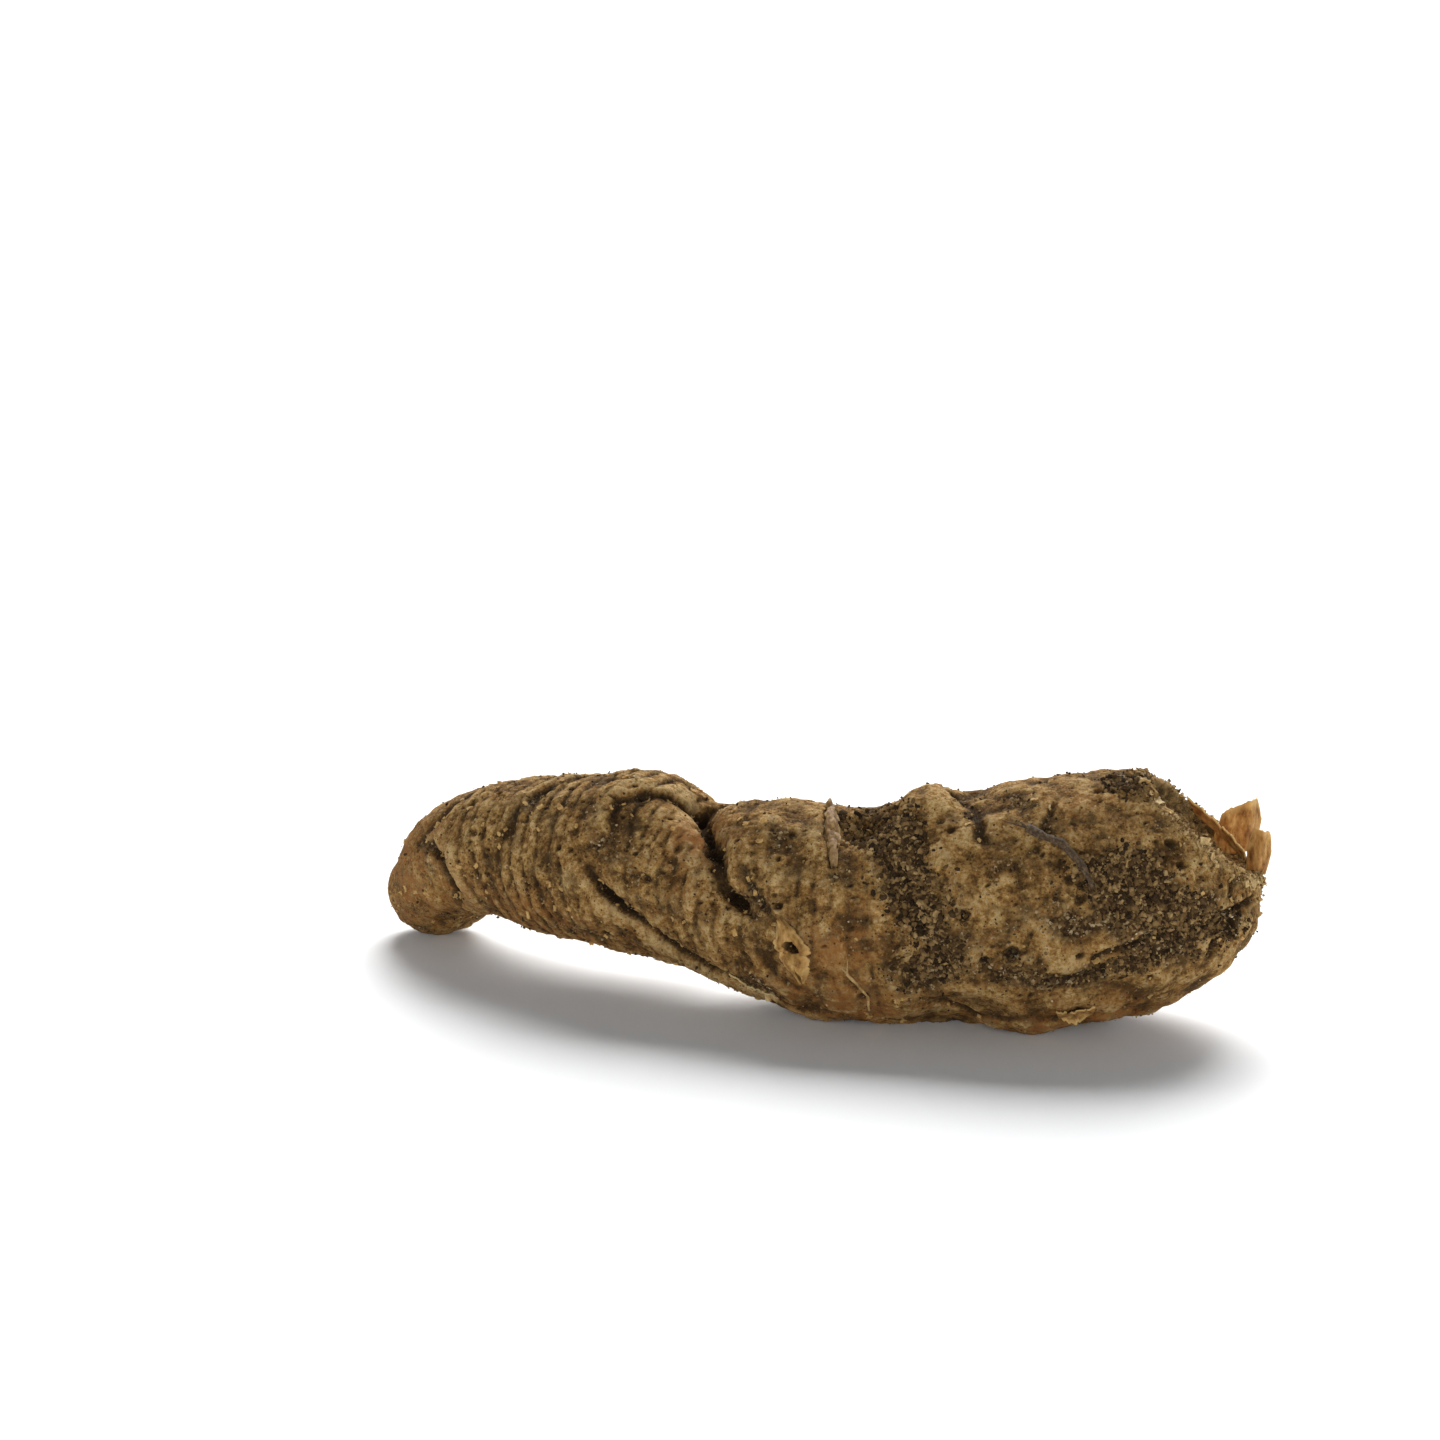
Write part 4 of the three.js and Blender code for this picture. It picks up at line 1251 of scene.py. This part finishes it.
@dataclass
class SkinFlap:
    """Loose shred of old skin between two edges on the body; it is crowned and curls up at both side edges."""

    name: str
    node: str | None
    slot: str
    edge_a: Path
    edge_b: Path
    lift: float
    crown: float
    curl: float
    seed: int
    thickness: float = 0.16
    ragged: float = 0.22
    hole: tuple[float, float, float, float] | None = None
    split: float = 0.0

    def build(self, body: RhizomeBody, finish: bpy.types.Material) -> bpy.types.Object:
        """Builds and dresses the flap.

        Args:
            body: The body it lies on.
            finish: Its material.

        Returns:
            The piece.
        """
        field_ = Field(self.seed)
        share, v = np.meshgrid(np.linspace(0, 1, 84), np.linspace(0, 1, 40), indexing="ij")
        a = along_path(np.array(self.edge_a, float), share[:, 0])[:, None]
        b = along_path(np.array(self.edge_b, float), share[:, 0])[:, None]
        flat = np.stack([share * 6, v * 3, np.zeros(v.shape)], axis=-1)
        fray = self.ragged * (field_.value(flat * [1, 0, 0], 0.8) + 0.6 * field_.value(flat * [1, 0, 0], 0.25, 2))
        across = v + fray * (v - 0.5) * 1.6
        place = a + (b - a) * across[..., None]
        crumple = 0.22 * field_.fractal(flat, 1.3, 4) + 0.1 * (field_.ridged(flat * [0.3, 1, 1], 0.5, 2) - 0.3)
        height = self.lift + self.crown * np.sin(np.pi * v) + self.curl * (2 * v - 1) ** 2 * np.sin(np.pi * share)
        points = body.surface(place[..., 0], place[..., 1], height + crumple * min(1.0, self.crown + 0.5))
        keep = np.ones((83, 39), bool)
        s_mid, v_mid = share[:-1, :-1], v[:-1, :-1]
        noise = field_.value(flat[:-1, :-1], 0.7, 5)
        if self.hole:
            s0, v0, rs, rv = self.hole
            keep &= ((s_mid - s0) / rs) ** 2 + ((v_mid - v0) / rv) ** 2 > 1 + 0.5 * noise
        if self.split:
            keep &= ~((s_mid > self.split) & (np.abs(v_mid - 0.5 - 0.1 * noise) < 0.22 * (s_mid - self.split) / 0.4))
        keep &= ~((noise > 0.62) & ((v_mid < 0.16) | (v_mid > 0.84)))
        tones = {Tone.EDGE.value: smooth_step(np.abs(v - 0.5), 0.34, 0.5)}
        return add_piece(sheet_mesh(self.name, points, self.thickness, keep, tones), finish, self.node)


@dataclass
class Rootlet:
    """Shrivelled rootlet lying on the skin, with frayed fibres at its broken end."""

    name: str
    node: str | None
    slot: str
    path: Path
    thick: float
    thin: float
    lift: float
    seed: int
    fibres: int = 0

    def build(self, body: RhizomeBody, finish: bpy.types.Material) -> bpy.types.Object:
        """Builds and dresses the rootlet.

        Args:
            body: The body it lies on; not used.
            finish: Its material.

        Returns:
            The piece.
        """
        field_ = Field(self.seed)
        share = np.linspace(0, 1, 90)
        place = along_path(np.array(self.path, float), share)
        line = skin_point(place[:, 0], place[:, 1], self.lift)
        line = line + 0.12 * np.stack([field_.fractal(line + k * 17, 1.6, 2) for k in range(3)], axis=-1)
        radii = np.interp(share, [0, 1], [self.thick, self.thin])
        radii = radii * (1 + 0.25 * field_.value(line, 0.9, 5) + 0.14 * field_.value(line, 0.35, 6))
        points, faces = tube_mesh(line, radii, 26)
        spine = np.repeat(line, 26, axis=0)
        arm = points[:-2] - spine
        folds = field_.ridged(points[:-2] * 1.0, 0.45, 2)
        points[:-2] = spine + arm * (0.86 + 0.34 * folds)[:, None]
        parts = [(points, faces)]
        random = np.random.default_rng(self.seed)
        start = line[0]
        back = (line[0] - line[6]) / np.linalg.norm(line[0] - line[6])
        for _ in range(self.fibres):
            aim = back + random.normal(0, 0.35, 3)
            reach = random.uniform(0.8, 2.0)
            steps = np.linspace(0, 1, 10)[:, None]
            fibre = start + aim * steps * reach + random.normal(0, 0.25, 3) * steps**2
            fibre[:, 2] = np.maximum(fibre[:, 2], start[2] - 0.35)
            parts.append(tube_mesh(fibre, np.linspace(0.11, 0.03, 10), 7))
        points, faces = join_parts(parts)
        return add_piece(make_mesh(self.name, points, faces), finish, self.node)


@dataclass
class Flakes:
    """Thin curled chips of bark that stand off the skin, as one piece."""

    name: str
    slot: str
    count: int
    small: float
    large: float
    seed: int
    stand: float = 0.5

    def build(self, body: RhizomeBody, weight: np.ndarray, finish: bpy.types.Material) -> bpy.types.Object:
        """Scatters the chips over the skin.

        Args:
            body: The body they sit on.
            weight: How likely a chip is at each point of the body's grid.
            finish: Their material.

        Returns:
            The piece.
        """
        random = np.random.default_rng(self.seed)
        chance = np.clip(weight, 0, None).ravel()
        spots = random.choice(chance.size, self.count, p=chance / chance.sum())
        corner = np.array([(i, j) for i in range(5) for j in range(4)], float)
        corner = (corner / [4, 3] - 0.5) * 2
        parts = []
        quads = grid_faces(5, 4)
        rim = np.array([(a, b) for a, b in self._border(quads)])
        walls = np.stack([rim[:, 1], rim[:, 0], rim[:, 0] + 20, rim[:, 1] + 20], axis=-1)
        faces = np.concatenate([quads, quads[:, ::-1] + 20, walls])
        for spot in spots:
            normal = body.normal.reshape(-1, 3)[spot]
            centre = body.points.reshape(-1, 3)[spot]
            size = random.uniform(self.small, self.large)
            tangent = np.cross(normal, random.normal(size=3))
            tangent /= np.linalg.norm(tangent)
            lean = random.uniform(0.0, self.stand)
            side = np.cross(normal, tangent)
            side = side * math.cos(lean) + normal * math.sin(lean)
            shape = corner * random.uniform(0.75, 1.2, (20, 2))
            bow = random.uniform(-0.3, 0.45) * shape[:, 0] ** 2 + random.normal(0, 0.07, 20)
            facing = np.cross(tangent, side)
            points = (centre + normal * 0.06 + tangent * shape[:, :1] * size
                      + side * (shape[:, 1:] * 0.6 + 0.35) * size + facing * (bow * size)[:, None])
            thick = facing * random.uniform(0.04, 0.09)
            both = np.concatenate([points + thick, points - thick])
            both[:, 2] = np.maximum(both[:, 2], 0.02)
            parts.append((both, faces))
        points, every = join_parts(parts)
        tones = {Tone.EDGE.value: random.random(len(points)),
                 Tone.GRAIN.value: np.repeat(random.random(self.count), 40)}
        return add_piece(make_mesh(self.name, points, every, tones, False), finish)

    @staticmethod
    def _border(quads: np.ndarray) -> list[tuple[int, int]]:
        """Edges that only one face uses, in the order that the face turns."""
        keys = {(int(q[k]), int(q[(k + 1) % 4])) for q in quads for k in range(4)}
        return sorted((a, b) for a, b in keys if (b, a) not in keys)


# ------------------------------------------------------------------ studio

@dataclass(frozen=True)
class Studio:
    """White table in a light tent, a wide soft light overhead, and the camera."""

    floor_size: float = 4.0
    wall_radius: float = 1.5
    wall_height: float = 0.6
    wall_glow: float = 0.2
    sky: float = 0.05
    top_power: float = 1.0
    back_power: float = 52.0
    front_power: float = 7.0
    lens: float = 87.5
    distance: float = 0.3725
    turned: float = 22.0
    tilted: float = 12.0
    aside: float = -0.0070
    above: float = 0.0166

    def build(self) -> None:
        """Builds the table, the wall, the light, the sky and the camera."""
        half = self.floor_size / 2 / METRE
        share = np.linspace(-half, half, 9)
        grid = np.stack(np.meshgrid(share, share, [0.0], indexing="ij"), axis=-1)[:, :, 0]
        floor = make_mesh("table", grid.reshape(-1, 3), grid_faces(9, 9)[:, ::-1])
        floor.data.materials.append(StageFinish("table_paint", (0.86, 0.865, 0.87)).build())
        turn = np.linspace(0, 2 * math.pi, 96, endpoint=False)
        ring = np.stack([np.cos(turn), np.sin(turn), np.zeros(96)], axis=-1) * self.wall_radius / METRE
        rows = np.stack([ring, ring + [0, 0, self.wall_height / METRE]])
        wall = make_mesh("tent_wall", rows.reshape(-1, 3), grid_faces(2, 96, closed=True)[:, ::-1])
        wall.data.materials.append(StageFinish("tent_cloth", (0.8, 0.8, 0.8), self.wall_glow).build())
        world = bpy.data.worlds.new("sky")
        world.use_nodes = True
        world.node_tree.nodes["Background"].inputs["Color"].default_value = (0.84, 0.92, 1.0, 1.0)
        world.node_tree.nodes["Background"].inputs["Strength"].default_value = self.sky
        bpy.context.scene.world = world
        self.lamp("overhead", (0.1, 0.3, 1.3), 2.0, self.top_power)
        self.lamp("back", (-0.25, 1.15, 1.05), 1.1, self.back_power)
        self.lamp("front", (0.5, -1.15, 0.2), 0.9, self.front_power)
        self.camera()

    def lamp(self, name: str, place: tuple[float, float, float], size: float, power: float) -> None:
        """Square soft light that faces the object."""
        data = bpy.data.lights.new(name, "AREA")
        data.shape = "SQUARE"
        data.size = size
        data.energy = power
        light = bpy.data.objects.new(name, data)
        light.location = place
        light.rotation_euler = (-Vector(place)).to_track_quat("-Z", "Y").to_euler()
        bpy.context.scene.collection.objects.link(light)

    def camera(self) -> None:
        """Sets the camera at the height and turn that the object is looked at from."""
        turned, tilted = math.radians(self.turned), math.radians(self.tilted)
        forward = Vector((-math.sin(turned) * math.cos(tilted), math.cos(turned) * math.cos(tilted),
                          -math.sin(tilted)))
        right = forward.cross(Vector((0, 0, 1))).normalized()
        up = right.cross(forward)
        low, high = (Vector(corner) for corner in CAD_BOX)
        eye = (low + high) / 2 + right * self.aside + up * self.above - forward * self.distance
        data = bpy.data.cameras.new("camera")
        data.lens = self.lens
        data.sensor_width = 36.0
        data.clip_start = 0.01
        seen = bpy.data.objects.new("camera", data)
        turn = Matrix((right, up, -forward)).transposed().to_4x4()
        seen.matrix_world = Matrix.Translation(eye) @ turn
        bpy.context.scene.collection.objects.link(seen)
        bpy.context.scene.camera = seen
        bpy.context.scene.view_settings.view_transform = "Standard"


# ------------------------------------------------------------------ all together

@dataclass
class Trims:
    """Everything that sits on the body: scales, shreds of skin, rootlets and soil."""

    body: RhizomeBody
    brown: bpy.types.Material
    pale: bpy.types.Material
    shade: bpy.types.Material
    root: bpy.types.Material
    earth: bpy.types.Material
    crumb: bpy.types.Material
    pieces: list[bpy.types.Object] = field(default_factory=list)

    def add_scales(self) -> None:
        """Scales of the shoot scar."""
        self.pieces += [
            StandingScale("lobed_scale", "apex_scale_lobed", (47.6, 7.0, 17.6), (0.1, 0, 1), (0.93, 0.37, 0.1),
                          5.4, 4.6, -1.1, -1.1, 0.2, 0.4, 61).build(self.brown),
            StandingScale("small_scale", "apex_scale_small", (50.0, 6.4, 15.8), (0.12, 0.05, 1),
                          (0.93, 0.37, -0.3), 4.6, 2.4, -0.7, -0.4, 0.12, 0.0, 62).build(self.brown),
            ScaleStrip("scar_strip", "apex_scale_strip",
                       ((43.6, 5.0, 21.9), (46.2, 5.6, 19.7), (49.0, 5.4, 17.4)),
                       ((43.5, 4.4, 23.6), (46.3, 4.6, 21.7), (49.3, 4.3, 19.2)), (-0.02, -0.16, 0.0),
                       63).build(self.brown),
        ]

    def add_shreds(self) -> None:
        """Shreds of old skin and of the root sheath."""
        self.pieces += [
            SkinFlap("shoulder_wedge", "shoulder_scale_remnant", "pale_scale",
                     ((60.4, 96), (61.2, 78), (62.4, 58), (63.6, 40)),
                     ((60.9, 96), (62.8, 80), (63.8, 60), (63.9, 40)),
                     0.05, 0.34, 0.0, 71, 0.3, 0.1).build(self.body, self.shade),
            SkinFlap("root_sheath_skin", "root_sheath", "dry_scale",
                     ((59.4, 9.5), (59.3, 0), (59.9, -10), (61.3, -21)),
                     ((59.9, 9.5), (62.0, 1), (62.3, -9), (61.9, -21)),
                     0.45, 1.1, 0.4, 72, 0.2, 0.2, (0.40, 0.5, 0.11, 0.22), 0.66).build(self.body, self.brown),
            SkinFlap("underside_shred", "underside_skin_flap", "dry_scale",
                     ((84.8, -42), (86.4, -40), (88.4, -42)), ((85.2, -50), (86.8, -52), (88.2, -49)),
                     0.2, 0.1, 0.6, 73).build(self.body, self.brown),
            SkinFlap("fold_shred", "fold_skin_flap", "pale_scale",
                     ((53.4, -40), (55.6, -44), (58.2, -50)), ((53.8, -48), (55.8, -54), (58.0, -58)),
                     0.2, 0.1, 0.4, 74).build(self.body, self.pale),
        ]

    def add_rootlets(self) -> None:
        """Broken rootlets."""
        self.pieces += [
            Rootlet("dark_rootlet_skin", "rootlet_broken", "dark_rootlet",
                    ((82.2, 49), (83.8, 44), (85.6, 40), (87.2, 31), (88.4, 19)), 0.46, 0.3, 0.75,
                    81, 5).build(self.body, self.root),
            Rootlet("thread_rootlet", "rootlet_thread", "pale_scale",
                    ((65.4, -16), (66.3, -22), (67.1, -30), (67.0, -40)), 0.17, 0.12, 0.7,
                    82, 2).build(self.body, self.pale),
        ]

    def add_soil(self) -> None:
        """Caked soil, loose dust, sand and crumbs of the scar's rim."""
        body = self.body
        sections = Sections.at(body.along)
        radius = np.maximum((sections.half_width + sections.half_height) / 2, 0.5)
        valley, _ = path_distance(body.along, body.around, radius, VALLEY)
        clods = 2.2 * np.clip(body.field.fractal(body.points + 50, 3.8, 4, 0.65) + 0.22, 0, 1) ** 1.5
        free = body.points[..., 2] > 0.6
        soil, hollow = body.tones[Tone.SOIL], body.tones[Tone.HOLLOW_PAINTED_SHADE]
        rim = body.tones[Tone.RIM] * free

        def patch(*spots: Patch) -> np.ndarray:
            """Weight of the grains around some places."""
            return body.patches(spots, body.along, body.around) * (0.05 + 1.6 * clods) * free

        cake = Grains("valley_soil", "soil_cake_valley", "dry_soil", 5200, 0.11, 0.52, 91, tones=(0.0, 0.89))
        self.pieces.append(cake.build(body, np.exp(-((valley / 2.1) ** 2)) * (0.2 + clods) * free, self.earth))
        cake = Grains("thick_end_soil", "soil_cake_thick_end", "dry_soil", 5600, 0.11, 0.46, 92, tones=(0.0, 0.88))
        self.pieces.append(cake.build(
            body, patch(Patch(93.4, 12, 3.8, 13), Patch(90, 24, 2.6, 8, 0.7), Patch(93, 78, 1.8, 9, 0.7)), self.earth))
        cake = Grains("crack_soil", "soil_cake_crack", "dry_soil", 2200, 0.10, 0.40, 93, tones=(0.0, 0.8))
        self.pieces.append(cake.build(
            body, patch(Patch(97, -13, 3.2, 7), Patch(92, -20, 3, 4, 0.6), Patch(101, -8, 2, 6, 0.8)), self.earth))
        dust = Grains("loose_dust", None, "dry_soil", 9800, 0.05, 0.24, 94, tones=(0.05, 0.95))
        self.pieces.append(dust.build(body, (0.05 + soil + 0.4 * hollow) * (0.15 + clods) * free, self.earth))
        sand = Grains("sand_grains", None, "dry_soil", 1500, 0.06, 0.20, 95, tones=(0.86, 1.0))
        self.pieces.append(sand.build(body, (0.25 + soil) * free, self.earth))
        crumbs = Grains("rim_crumbs", None, "pale_scale", 1900, 0.06, 0.34, 96, tones=(0.0, 0.9), flat=0.6)
        self.pieces.append(crumbs.build(body, rim**2 * (0.2 + clods), self.crumb))
        face = Grains("scar_crumbs", None, "pale_scale", 2200, 0.06, 0.34, 97, tones=(0.0, 0.65), flat=0.5)
        self.pieces.append(face.build(body, body.tones[Tone.FACE] * (0.15 + clods) * free, self.crumb))
        chips = Flakes("bark_chips", "rhizome_bark", 420, 0.12, 0.42, 98)
        edges = np.clip(hollow - 0.1, 0, 1) * free + 0.05 * free
        self.pieces.append(chips.build(body, edges * (1 - body.tones[Tone.FACE]), self.brown))
        plates = Flakes("rim_plates", "pale_scale", 70, 0.2, 0.6, 99, 1.0)
        self.pieces.append(plates.build(body, rim**2, self.pale))


def main() -> None:
    """Builds everything in order."""
    logging.basicConfig(level=logging.INFO, format="%(message)s")
    body = RhizomeBody()
    made = body.build(BarkFinish().build())
    LOG.info("%s: %d faces", made.name, len(made.data.polygons))
    trims = Trims(
        body,
        PaperFinish("brown_paper", (0.11, 0.050, 0.014), (0.34, 0.182, 0.052), (0.60, 0.385, 0.145)).build(),
        PaperFinish("pale_paper", (0.14, 0.078, 0.028), (0.38, 0.235, 0.09), (0.60, 0.44, 0.21)).build(),
        PaperFinish("shoulder_paper", (0.10, 0.055, 0.019), (0.24, 0.138, 0.05), (0.42, 0.27, 0.11)).build(),
        RootFinish().build(),
        GrainFinish("soil_grains", SOIL_STOPS).build(),
        GrainFinish("straw_crumbs", CRUMB_STOPS).build())
    for step in (trims.add_scales, trims.add_shreds, trims.add_rootlets, trims.add_soil):
        step()
    for piece in trims.pieces:
        LOG.info("%s: %d faces", piece.name, len(piece.data.polygons))
    Studio().build()


if __name__ == "__main__":
    main()
